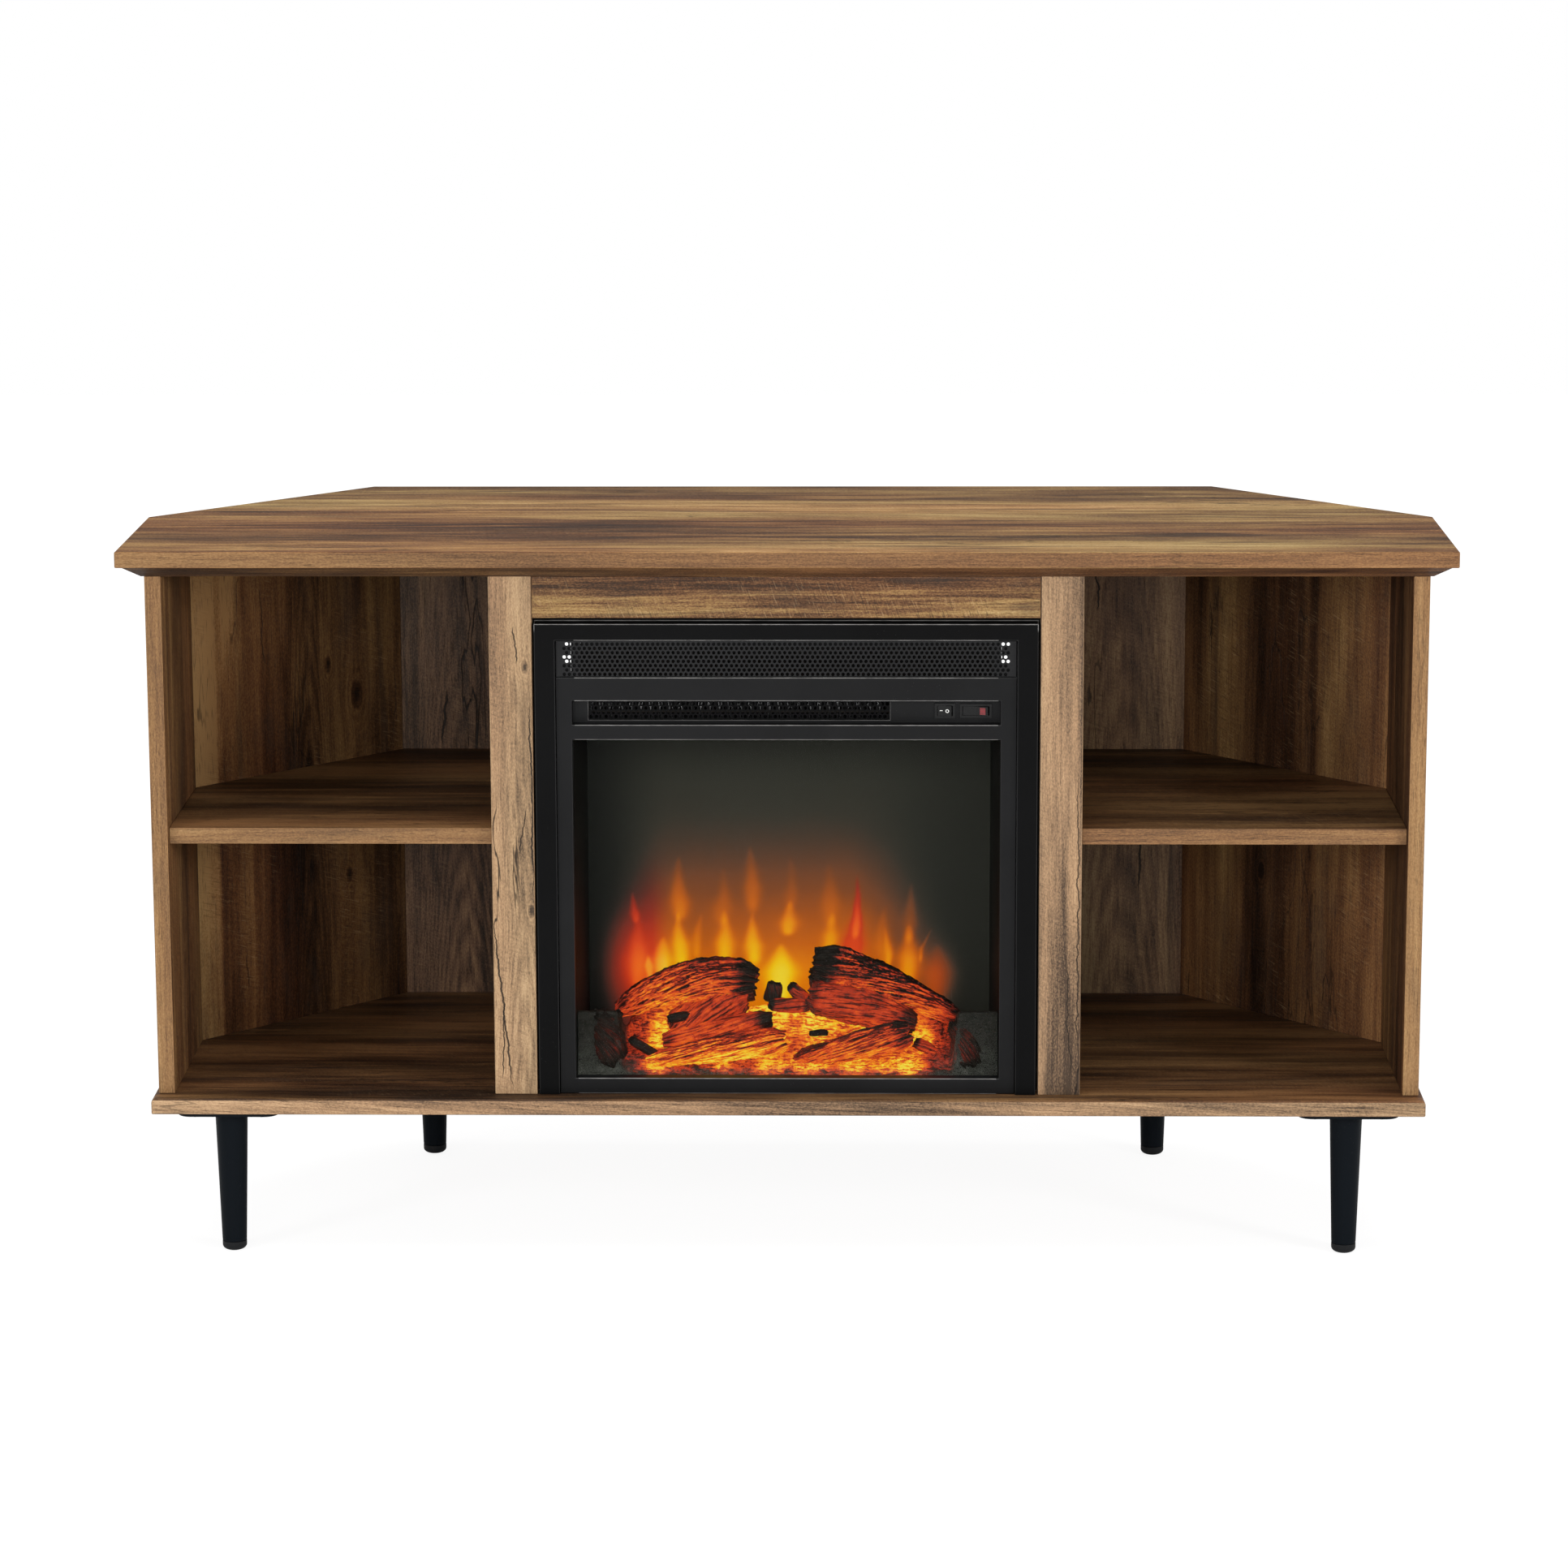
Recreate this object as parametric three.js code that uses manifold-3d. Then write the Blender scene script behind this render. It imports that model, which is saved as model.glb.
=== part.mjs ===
// Corner television stand with an electric fireplace insert, on four tapered legs.
// Millimetres, +Z up. The front faces -Y and the origin is on the floor under the middle.

import * as THREE from 'three';
import { mergeGeometries, mergeVertices } from 'three/addons/utils/BufferGeometryUtils.js';
import Module from 'manifold-3d';

const wasm = await Module();
wasm.setup();

// Clearances
const FIT = 0.3; // left between pieces that seat on each other
const RUNNING_FIT = 0.1; // radial play of a pin or shaft in its bore
const OVERRUN = 1; // how far a cutting tool passes the face that it cuts

// Top and moulding
const BOARD = 15;
const TOP_WIDTH = 1219;
const TOP_DEPTH = 400;
const TOP_SIDE_DEPTH = 205.5; // straight side edge in front of the 45 degree cut
const TOP_ARRIS = 1;
const MOULDING_HEIGHT = 10.5;
const MOULDING_SETBACK = 5;
const MOULDING_BEVEL = 15;

// Case
const CASE_SIDE_SETBACK = 23.4; // side panels behind the top's side edge
const CASE_FRONT_SETBACK = 21.5;
const REAR_OVERHANG = 7;
const DIAGONAL_OVERHANG = 12;
const BACK_THICKNESS = 5;
const BOTTOM_SIDE_LIP = 4.7;
const BOTTOM_FRONT_SETBACK = 3;
const BOTTOM_REAR_LIP = 2;
const BOTTOM_ARRIS = 4;
const STILE_WIDTH = 39.4;
const SHELF_HEIGHT = 252; // shelf's upper face over the bottom panel
const SHELF_FRONT_SETBACK = 8.4; // behind the side panels' front edge
const HEADER_HEIGHT = 39;
const BRACE_HEIGHT = 80;
const ARRIS_STEPS = 3;

// Legs
const LEG_HEIGHT = 140; // floor to the bottom panel, with plate and foot
const LEG_TOP_RADIUS = 15.2;
const LEG_BOTTOM_RADIUS = 11.4;
const LEG_SIDES = 16;
const STUD_RADIUS = 4;
const FOOT_HEIGHT = 9;
const FOOT_FLAT_RADIUS = 5;
const FOOT_STEM = 8;
const FOOT_CURVE_STEPS = 2;
const PLATE_WIDTH = 94;
const PLATE_DEPTH = 60;
const PLATE_THICKNESS = 3;
const PLATE_CORNER = 12;
const SCREW_SPACING_X = 62;
const SCREW_SPACING_Y = 38;
const SCREW_HEAD_RADIUS = 4.4;
const SCREW_HEAD_HEIGHT = 2.6;
const SCREW_FLAT_SHARE = 0.6; // of the head's radius
const SCREW_SHOULDER_SHARE = 0.3; // of the head's height
const SCREW_SIDES = 8;
const FRONT_LEG_INSET_X = 70; // from the bottom panel's side edge
const FRONT_LEG_INSET_Y = 33;
const REAR_LEG_INSET_X = 45; // from the bottom panel's back corner
const REAR_LEG_INSET_Y = 46;

// Insert, front
const INSERT_WIDTH = 461;
const INSERT_HEIGHT = 445;
const INSERT_GAP = 2; // beside the trim, to the stiles
const INSERT_TOP_GAP = 5.5; // over the trim, to the header rail
const INSERT_PROUD = 1.5; // trim in front of the stiles
const SHEET = 1.5;
const TRIM_SIDE = 19;
const TRIM_TOP = 15.5;
const TRIM_DEPTH = 16;
const TRIM_LAP = 8; // how far its rear flange reaches behind the stiles and the header rail
const GRILLE_HEIGHT = 34.4;
const GRILLE_SETBACK = 3;
const GRILLE_FLANGE = 10;
const GRILLE_HOLE_RADIUS = 3.6;
const GRILLE_HOLE_SIDES = 6;
const GRILLE_PITCH = 10.8;
const BEZEL_SETBACK = 4;
const BEZEL_DEPTH = 12;
const BEZEL_SIDE = 14.7;
const BEZEL_HEADER = 22;
const RECESS_HEIGHT = 22.3;
const LIP_HEIGHT = 14;
const BOTTOM_RAIL = 14.7;
const WINDOW_LAP = 1.7; // how far glass and fascia reach behind the bezel's edges
const GLASS_THICKNESS = 4;

// Controls
const OUTLET_WIDTH = 277.6;
const OUTLET_HEIGHT = 18;
const OUTLET_OFFSET = -43.5; // centre of the outlet from the insert's middle
const OUTLET_PITCH = 5.8;
const OUTLET_BAR = 1.4;
const OUTLET_RIM = 4;
const OUTLET_DEPTH = 6;
const FLANGE_PROUD = 1.4;
const ROCKER_TILT = THREE.MathUtils.degToRad(9);
const ROCKER_FACE = 1.2; // valley of the rocker in front of its pivot
const ROCKER_BODY = 5; // rocker behind its pivot
const ROCKER_PLAY = 0.8; // at each end of the rocker, so that its corners swing clear
const PIVOT_RADIUS = 1;
const PIVOT_LENGTH = 1;
const SWITCH_RIM = 1; // flange beyond the body
const SWITCH_WALL = 1.2;
const SWITCH_DEPTH = 13;
const TERMINAL = 4.8;
const TERMINAL_THICKNESS = 0.8;
const TERMINAL_LENGTH = 8;
const POWER_SWITCH = { x: 145.6, width: 18.7, height: 14 };
const HEAT_SWITCH = { x: 174, width: 29.2, height: 13 };

// Casing
const CASING_TOP_SETBACK = 2.5; // under the bezel's top
const CASING_DEPTH = 172;
const CASING_FLANGE = 8;
const COVER_SLOT_LENGTH = 60;
const COVER_SLOT_HEIGHT = 5;
const COVER_SLOT_PITCH = 11;
const COVER_SLOT_SPACING = 90;
const COVER_SLOT_ROWS = 5;
const COVER_SLOT_COLUMNS = 3;
const GLAND_BORE = 4;
const GLAND_RADIUS = 8;
const GLAND_FLANGE = 3;
const GLAND_SIDES = 16;
const GLAND_INSET = 32; // from the casing's side and floor
const BRACKET_LEG = 32;
const BRACKET_WIDTH = 40;

// Firebox
const SCREEN_SETBACK = 109; // flame screen behind the glass
const SCREEN_THICKNESS = 3;
const FIREBOX_TAPER = 6; // how far each side wall leans in at the screen
const BED_ROWS = 9;
const BED_COLUMNS = 24;
const BED_FRONT_HEIGHT = 14;
const BED_MIDDLE_HEIGHT = 30;
const BED_RISE = 36; // added under the back logs
const BED_RISE_WIDTH = 110;
const BED_RISE_DEPTH = 26;
const BED_CORNER_HEIGHT = 70;
const BED_CORNER_WIDTH = 40;
const BED_CORNER_STEEPNESS = 4;
const BED_RIPPLE = 2.2;
const RIPPLE_LENGTH = 7;
const LOG_SET_HEIGHT = 120;
const LOG_RADIUS = 20;
const LOG_RINGS = 11;
const LOG_SIDES = 10;

// Flame effect
const SPINDLE_HEIGHT = 62;
const SPINDLE_SETBACK = 24; // behind the flame screen
const SPINDLE_RADIUS = 2.5;
const SPINDLE_SIDES = 12;
const TAB_LENGTH = 16;
const TAB_WIDTH = 20;
const TAB_THICKNESS = 0.8;
const TAB_COUNT = 9;
const TAB_TURN = THREE.MathUtils.degToRad(50);
const SPINDLE_MOTOR_RADIUS = 22;
const SPINDLE_MOTOR_LENGTH = 16;
const BEARING_SIZE = 18;
const LED_BOARD_WIDTH = 9;
const LED_BOARD_THICKNESS = 1.6;
const LED_COUNT = 12;
const LED_SIZE = 5;

// Heater
const FAN_RADIUS = 17;
const FAN_HUB_RADIUS = 12;
const FAN_BLADES = 16;
const BLADE_THICKNESS = 1.2;
const BLADE_LEAN = THREE.MathUtils.degToRad(32);
const FAN_DISC = 2;
const FAN_SHAFT_RADIUS = 3;
const FAN_SHAFT_STUB = 7;
const FAN_SETBACK = 92; // axis behind the fascia
const FAN_PLAY = 3; // fan's tips to the housing
const HOUSING_WALL = 1.6;
const HOUSING_ARC = THREE.MathUtils.degToRad(144);
const HOUSING_ARC_STEPS = 10;
const TONGUE_ANGLE = THREE.MathUtils.degToRad(30);
const HOUSING_SPREAD = 5; // how much the scroll opens from its start to its end
const HEATER_DEPTH = 14;
const HEATER_RIM = 2;
const HEATER_PITCH = 14;
const HEATER_FIN = 0.9;
const HEATER_SETBACK = 12; // behind the outlet grille
const FAN_MOTOR_RADIUS = 19;
const FAN_MOTOR_LENGTH = 34;

// Heights and planes that follow from the sizes above
const frontY = -TOP_DEPTH / 2;
const backY = TOP_DEPTH / 2;
const topDiagonal = TOP_WIDTH / 2 + frontY + TOP_SIDE_DEPTH; // x + y along the rear cut
const bottomZ = LEG_HEIGHT;
const floorZ = bottomZ + BOARD;
const caseHeight = INSERT_HEIGHT + INSERT_TOP_GAP + HEADER_HEIGHT;
const mouldingZ = floorZ + caseHeight;
const topZ = mouldingZ + MOULDING_HEIGHT;
const caseHalf = TOP_WIDTH / 2 - CASE_SIDE_SETBACK;
const caseFrontY = frontY + CASE_FRONT_SETBACK;
const innerHalf = caseHalf - BOARD;
const backOuterY = backY - REAR_OVERHANG;
const backInnerY = backOuterY - BACK_THICKNESS;
const outerDiagonal = topDiagonal - DIAGONAL_OVERHANG * Math.SQRT2;
const innerDiagonal = outerDiagonal - BOARD * Math.SQRT2;
const stileInner = INSERT_WIDTH / 2 + INSERT_GAP;
const stileOuter = stileInner + STILE_WIDTH;
const dividerInner = stileOuter - BOARD;

// Materials
function material(color, roughness, metalness = 0) {
  return new THREE.MeshStandardMaterial({ color, roughness, metalness });
}
const OAK = [0x8a6a48, 0.6];
const OAK_LIGHT = [0xa9875f, 0.6];
const OAK_DARK = [0x5d442f, 0.65];
const BLACK_SHEET = [0x1b1b1c, 0.5, 0.3];
const LEG_BLACK = [0x1c2025, 0.4, 0.4];
const BLACK_PLASTIC = [0x101010, 0.4];
const RAW_STEEL = [0x9a9c9e, 0.4, 0.9];
const CHAR = [0x4a2a1e, 0.9];
const EMBER = [0xd0601c, 0.8];
const SMOKED_GLASS = [0x1a1c1b, 0.05];
const FLAME_SCREEN = [0x3a3f39, 0.4];
const BOARD_WHITE = [0xd8d4c4, 0.5];

// Shapes and solids

function shapeOf(points) {
  return new THREE.Shape(points.map(([a, b]) => new THREE.Vector2(a, b)));
}

function rectangle(a0, a1, b0, b1) {
  return [[a0, b0], [a1, b0], [a1, b1], [a0, b1]];
}

function centred(a, b, width, height) {
  return rectangle(a - width / 2, a + width / 2, b - height / 2, b + height / 2);
}

function polygon(a, b, radius, sides, turn = 0) {
  return Array.from({ length: sides }, (_, i) => {
    const angle = turn + (2 * Math.PI * i) / sides;
    return [a + radius * Math.cos(angle), b + radius * Math.sin(angle)];
  });
}

function extruded(outline, depth, holes) {
  const shape = shapeOf(outline);
  shape.holes = holes.map(shapeOf);
  return new THREE.ExtrudeGeometry(shape, { depth, bevelEnabled: false });
}

// An outline in x and y, raised from z0 to z1.
function slab(outline, z0, z1, holes = []) {
  return extruded(outline, z1 - z0, holes).translate(0, 0, z0);
}

// An outline in x and z, as seen from the front, carried from y0 back to y1.
function facing(outline, y0, y1, holes = []) {
  const axes = new THREE.Matrix4().makeBasis(
    new THREE.Vector3(1, 0, 0),
    new THREE.Vector3(0, 0, 1),
    new THREE.Vector3(0, -1, 0),
  );
  return extruded(outline, y1 - y0, holes).applyMatrix4(axes).translate(0, y1, 0);
}

// An outline in y and z, carried from x0 to x1.
function section(outline, x0, x1, holes = []) {
  const axes = new THREE.Matrix4().makeBasis(
    new THREE.Vector3(0, 1, 0),
    new THREE.Vector3(0, 0, 1),
    new THREE.Vector3(1, 0, 0),
  );
  return extruded(outline, x1 - x0, holes).applyMatrix4(axes).translate(x0, 0, 0);
}

// A closed profile of radius and height, turned about Z.
function turned(profile, sides) {
  const points = profile.map(([r, z]) => new THREE.Vector2(r, z));
  return new THREE.LatheGeometry(points, sides).rotateX(Math.PI / 2);
}

// Rings of points that all have the same count, joined in order and capped at both ends.
function lofted(rings) {
  const count = rings[0].length;
  const index = [];
  for (let r = 0; r + 1 < rings.length; r++) {
    for (let i = 0; i < count; i++) {
      const a = r * count + i;
      const b = r * count + ((i + 1) % count);
      index.push(a, b, b + count, a, b + count, a + count);
    }
  }
  const last = (rings.length - 1) * count;
  for (let i = 1; i + 1 < count; i++) {
    index.push(0, i + 1, i, last, last + i, last + i + 1);
  }
  const geometry = new THREE.BufferGeometry();
  geometry.setAttribute('position', new THREE.Float32BufferAttribute(rings.flat(2), 3));
  geometry.setIndex(index);
  return geometry;
}

function asSolid(geometry) {
  const bare = geometry.clone();
  bare.deleteAttribute('normal');
  bare.deleteAttribute('uv');
  const merged = mergeVertices(bare);
  return new wasm.Manifold(new wasm.Mesh({
    numProp: 3,
    vertProperties: new Float32Array(merged.attributes.position.array),
    triVerts: new Uint32Array(merged.index.array),
  }));
}

function asGeometry(body) {
  const mesh = body.getMesh();
  const geometry = new THREE.BufferGeometry();
  geometry.setAttribute('position', new THREE.BufferAttribute(mesh.vertProperties, 3));
  geometry.setIndex(new THREE.BufferAttribute(mesh.triVerts, 1));
  return geometry;
}

function joined(...geometries) {
  return asGeometry(geometries.map(asSolid).reduce((sum, next) => sum.add(next)));
}

function cutBy(geometry, ...tools) {
  return asGeometry(tools.map(asSolid).reduce((rest, tool) => rest.subtract(tool), asSolid(geometry)));
}

// A plate seen from the front, pierced by outlines that don't meet each other.
function pierced(outline, y0, y1, holes) {
  const tools = holes.map((hole) => facing(hole, y0 - OVERRUN, y1 + OVERRUN));
  return cutBy(facing(outline, y0, y1), mergeGeometries(tools));
}

function piece(name, geometry, [color, roughness, metalness]) {
  geometry.computeVertexNormals();
  const mesh = new THREE.Mesh(geometry, material(color, roughness, metalness));
  mesh.name = name;
  return mesh;
}

// The corner unit's plan: straight front and sides, a cut at 45 degrees and a short back.
function cornerPlan(half, front, diagonal, back) {
  return [
    [-half, front],
    [half, front],
    [half, diagonal - half],
    [diagonal - back, back],
    [back - diagonal, back],
    [-half, diagonal - half],
  ];
}

// A board whose front and side edges are set in by a given amount at each level.
function edgedBoard(half, front, diagonal, back, levels) {
  return lofted(levels.map(([z, inset]) => (
    cornerPlan(half - inset, front + inset, diagonal, back).map(([x, y]) => [x, y, z])
  )));
}

// Cabinet

function topPanel() {
  const zEnd = topZ + BOARD;
  return edgedBoard(TOP_WIDTH / 2, frontY, topDiagonal, backY, [
    [topZ + FIT, TOP_ARRIS],
    [topZ + FIT + TOP_ARRIS, 0],
    [zEnd - TOP_ARRIS, 0],
    [zEnd, TOP_ARRIS],
  ]);
}

function topMoulding() {
  const half = TOP_WIDTH / 2 - MOULDING_SETBACK;
  return edgedBoard(half, frontY + MOULDING_SETBACK, outerDiagonal, backOuterY, [
    [mouldingZ, MOULDING_BEVEL],
    [topZ, 0],
  ]);
}

const bottomHalf = caseHalf + BOTTOM_SIDE_LIP;
const bottomFrontY = frontY + BOTTOM_FRONT_SETBACK;
const bottomDiagonal = outerDiagonal + BOTTOM_REAR_LIP * Math.SQRT2;
const bottomBackY = backOuterY + BOTTOM_REAR_LIP;

function bottomPanel() {
  const arc = Array.from({ length: ARRIS_STEPS + 1 }, (_, i) => {
    const angle = (Math.PI / 2) * (i / ARRIS_STEPS);
    return [
      floorZ - BOTTOM_ARRIS + BOTTOM_ARRIS * Math.sin(angle),
      BOTTOM_ARRIS - BOTTOM_ARRIS * Math.cos(angle),
    ];
  });
  return edgedBoard(bottomHalf, bottomFrontY, bottomDiagonal, bottomBackY, [
    [bottomZ, TOP_ARRIS],
    [bottomZ + TOP_ARRIS, 0],
    ...arc,
  ]);
}

// An upright board over the whole height of the case. Its plan is for the right-hand side.
function upright(plan, side, z0 = floorZ + FIT, z1 = mouldingZ - FIT) {
  return slab(plan.map(([x, y]) => [side * x, y]), z0, z1);
}

function sidePanelPlan() {
  const cut = innerDiagonal - FIT * Math.SQRT2;
  return [
    [innerHalf, caseFrontY],
    [caseHalf, caseFrontY],
    [caseHalf, cut - caseHalf],
    [innerHalf, cut - innerHalf],
  ];
}

function diagonalPanelPlan() {
  return [
    [caseHalf, innerDiagonal - caseHalf],
    [caseHalf, outerDiagonal - caseHalf],
    [outerDiagonal - backInnerY, backInnerY],
    [innerDiagonal - backInnerY, backInnerY],
  ];
}

function backPanelPlan() {
  const y0 = backInnerY + FIT;
  return [
    [dividerInner, y0],
    [outerDiagonal - y0, y0],
    [outerDiagonal - backOuterY, backOuterY],
    [dividerInner, backOuterY],
  ];
}

function dividerPlan() {
  return rectangle(dividerInner, stileOuter, caseFrontY + BOARD + FIT, backInnerY - FIT);
}

function shelfPlan() {
  const x0 = stileOuter + FIT;
  const x1 = innerHalf - FIT;
  const y1 = backInnerY - FIT;
  const diagonal = innerDiagonal - FIT * Math.SQRT2;
  return [
    [x0, caseFrontY + SHELF_FRONT_SETBACK],
    [x1, caseFrontY + SHELF_FRONT_SETBACK],
    [x1, diagonal - x1],
    [diagonal - y1, y1],
    [x0, y1],
  ];
}

function cabinet() {
  const group = new THREE.Group();
  group.add(piece('top_panel', topPanel(), OAK));
  group.add(piece('top_moulding', topMoulding(), OAK));
  group.add(piece('bottom_panel', bottomPanel(), OAK));
  const shelfZ = floorZ + SHELF_HEIGHT;
  const stile = rectangle(stileInner, stileOuter, caseFrontY, caseFrontY + BOARD);
  for (const [word, side] of [['left', -1], ['right', 1]]) {
    group.add(piece(`side_panel_${word}`, upright(sidePanelPlan(), side), OAK));
    group.add(piece(`diagonal_panel_${word}`, upright(diagonalPanelPlan(), side), OAK_DARK));
    group.add(piece(`back_panel_${word}`, upright(backPanelPlan(), side), OAK_DARK));
    group.add(piece(`divider_${word}`, upright(dividerPlan(), side), OAK_DARK));
    group.add(piece(`stile_${word}`, upright(stile, side), OAK_LIGHT));
    group.add(piece(`shelf_${word}`, upright(shelfPlan(), side, shelfZ - BOARD, shelfZ), OAK_DARK));
  }
  const header = rectangle(-stileInner + FIT, stileInner - FIT, caseFrontY, caseFrontY + BOARD);
  const headerZ = mouldingZ - HEADER_HEIGHT;
  group.add(piece('header_rail', slab(header, headerZ, mouldingZ - FIT), OAK));
  const braceHalf = dividerInner - FIT;
  const brace = rectangle(-braceHalf, braceHalf, backInnerY - BOARD, backInnerY - FIT);
  group.add(piece('rear_brace', slab(brace, mouldingZ - BRACE_HEIGHT, mouldingZ - FIT), OAK_DARK));
  return group;
}

// Legs

// A domed screw head that points down from z.
function screwHead(z) {
  const shoulder = SCREW_HEAD_HEIGHT * SCREW_SHOULDER_SHARE;
  return turned([
    [0, z - SCREW_HEAD_HEIGHT],
    [SCREW_HEAD_RADIUS * SCREW_FLAT_SHARE, z - SCREW_HEAD_HEIGHT],
    [SCREW_HEAD_RADIUS, z - shoulder],
    [SCREW_HEAD_RADIUS, z + PLATE_THICKNESS / 2],
    [0, z + PLATE_THICKNESS / 2],
  ], SCREW_SIDES);
}

function legPlate() {
  const x = PLATE_WIDTH / 2;
  const y = PLATE_DEPTH / 2;
  const c = PLATE_CORNER;
  const outline = [
    [-x + c, -y], [x - c, -y], [x, -y + c], [x, y - c],
    [x - c, y], [-x + c, y], [-x, y - c], [-x, -y + c],
  ];
  const z1 = LEG_HEIGHT - FIT;
  const z0 = z1 - PLATE_THICKNESS;
  const hole = polygon(0, 0, STUD_RADIUS + FIT, LEG_SIDES);
  const heads = [[-1, -1], [1, -1], [1, 1], [-1, 1]].map(([i, j]) => (
    screwHead(z0).translate((i * SCREW_SPACING_X) / 2, (j * SCREW_SPACING_Y) / 2, 0)
  ));
  return joined(slab(outline, z0, z1, [hole]), ...heads);
}

function legBody() {
  const z1 = LEG_HEIGHT - PLATE_THICKNESS - 2 * FIT;
  const studTop = LEG_HEIGHT - 2 * FIT;
  const socket = STUD_RADIUS + FIT;
  return turned([
    [0, FOOT_HEIGHT + FIT + FOOT_STEM],
    [socket, FOOT_HEIGHT + FIT + FOOT_STEM],
    [socket, FOOT_HEIGHT + FIT],
    [LEG_BOTTOM_RADIUS, FOOT_HEIGHT + FIT],
    [LEG_TOP_RADIUS, z1],
    [STUD_RADIUS, z1],
    [STUD_RADIUS, studTop],
    [0, studTop],
  ], LEG_SIDES);
}

function footCap() {
  const curve = Array.from({ length: FOOT_CURVE_STEPS }, (_, i) => {
    const angle = (Math.PI / 2) * ((i + 1) / FOOT_CURVE_STEPS);
    const spread = LEG_BOTTOM_RADIUS - FOOT_FLAT_RADIUS;
    return [
      FOOT_FLAT_RADIUS + spread * Math.sin(angle),
      (FOOT_HEIGHT / 2) * (1 - Math.cos(angle)),
    ];
  });
  return turned([
    [0, 0],
    [FOOT_FLAT_RADIUS, 0],
    ...curve,
    [LEG_BOTTOM_RADIUS, FOOT_HEIGHT],
    [STUD_RADIUS, FOOT_HEIGHT],
    [STUD_RADIUS, FOOT_HEIGHT + FOOT_STEM],
    [0, FOOT_HEIGHT + FOOT_STEM],
  ], LEG_SIDES);
}

function legs() {
  const group = new THREE.Group();
  const frontX = bottomHalf - FRONT_LEG_INSET_X;
  const rearX = bottomDiagonal - bottomBackY - REAR_LEG_INSET_X;
  const places = [
    ['front_left', -frontX, bottomFrontY + FRONT_LEG_INSET_Y],
    ['front_right', frontX, bottomFrontY + FRONT_LEG_INSET_Y],
    ['rear_left', -rearX, bottomBackY - REAR_LEG_INSET_Y],
    ['rear_right', rearX, bottomBackY - REAR_LEG_INSET_Y],
  ];
  for (const [word, x, y] of places) {
    const leg = new THREE.Group();
    leg.position.set(x, y, 0);
    leg.add(piece(`leg_plate_${word}`, legPlate(), LEG_BLACK));
    leg.add(piece(`leg_${word}`, legBody(), LEG_BLACK));
    leg.add(piece(`foot_cap_${word}`, footCap(), BLACK_PLASTIC));
    group.add(leg);
  }
  return group;
}

// Insert, front. From here on y is measured from the trim's front and z from the insert's base.

const trimInner = INSERT_WIDTH / 2 - TRIM_SIDE;
const trimInnerZ = INSERT_HEIGHT - TRIM_TOP;
const bezelHalf = trimInner - FIT;
const bezelTop = trimInnerZ - GRILLE_HEIGHT - 2 * FIT;
const bezelBackY = BEZEL_SETBACK + BEZEL_DEPTH;
const windowHalf = bezelHalf - BEZEL_SIDE;
const recessTop = bezelTop - BEZEL_HEADER;
const recessBottom = recessTop - RECESS_HEIGHT;
const recessZ = (recessTop + recessBottom) / 2;
const windowTop = recessBottom - LIP_HEIGHT;
const fasciaY = bezelBackY + FIT;
const casingInner = windowHalf + WINDOW_LAP + FIT;
const casingHalf = casingInner + SHEET;
const casingHeight = bezelTop - CASING_TOP_SETBACK;
const casingFrontY = bezelBackY + FIT;
const casingBackY = casingFrontY + CASING_DEPTH;

// A sheet frame whose walls turn back along every edge, open at the rear.
function foldedFrame(outline, channel, y0, depth, holes = [], channelHoles = []) {
  return cutBy(
    facing(outline, y0, y0 + depth, holes),
    facing(channel, y0 + SHEET, y0 + depth + OVERRUN, channelHoles),
  );
}

function portal(half, top, innerHalfWidth, innerTop, foot) {
  return [
    [-half, foot], [-innerHalfWidth, foot], [-innerHalfWidth, innerTop], [innerHalfWidth, innerTop],
    [innerHalfWidth, foot], [half, foot], [half, top], [-half, top],
  ];
}

// The folded frame, whose outer walls run on and turn outwards behind the stiles and the header rail.
function trimFrame() {
  const half = INSERT_WIDTH / 2;
  const inside = half - SHEET;
  const insideTop = INSERT_HEIGHT - SHEET;
  const reach = half + INSERT_GAP + TRIM_LAP;
  const reachTop = INSERT_HEIGHT + INSERT_TOP_GAP + TRIM_LAP;
  const flangeY = INSERT_PROUD + BOARD + FIT;
  return joined(
    foldedFrame(
      portal(half, INSERT_HEIGHT, trimInner, trimInnerZ, 0),
      portal(inside, insideTop, trimInner + SHEET, trimInnerZ + SHEET, SHEET),
      0,
      TRIM_DEPTH,
    ),
    facing(portal(half, INSERT_HEIGHT, inside, insideTop, 0), SHEET, flangeY + SHEET / 2),
    facing(portal(reach, reachTop, inside, insideTop, 0), flangeY, flangeY + SHEET),
  );
}

function ventGrille() {
  const z0 = bezelTop + FIT;
  const z1 = trimInnerZ - FIT;
  const rows = Math.floor((z1 - z0) / GRILLE_PITCH);
  const columns = Math.floor((2 * bezelHalf) / GRILLE_PITCH) - 1;
  const holes = [];
  for (let row = 0; row < rows; row++) {
    const stagger = row % 2 ? 1 / 2 : 0;
    for (let column = 0; column < columns - (row % 2); column++) {
      const x = (column + stagger - (columns - 1) / 2) * GRILLE_PITCH;
      const z = (z0 + z1) / 2 + (row - (rows - 1) / 2) * GRILLE_PITCH;
      holes.push(polygon(x, z, GRILLE_HOLE_RADIUS, GRILLE_HOLE_SIDES, Math.PI / GRILLE_HOLE_SIDES));
    }
  }
  const y0 = GRILLE_SETBACK;
  const back = y0 + SHEET + GRILLE_FLANGE;
  return joined(
    pierced(rectangle(-bezelHalf, bezelHalf, z0, z1), y0, y0 + SHEET, holes),
    facing(rectangle(-bezelHalf, bezelHalf, z0, z0 + SHEET), y0 + SHEET / 2, back),
    facing(rectangle(-bezelHalf, bezelHalf, z1 - SHEET, z1), y0 + SHEET / 2, back),
  );
}

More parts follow.
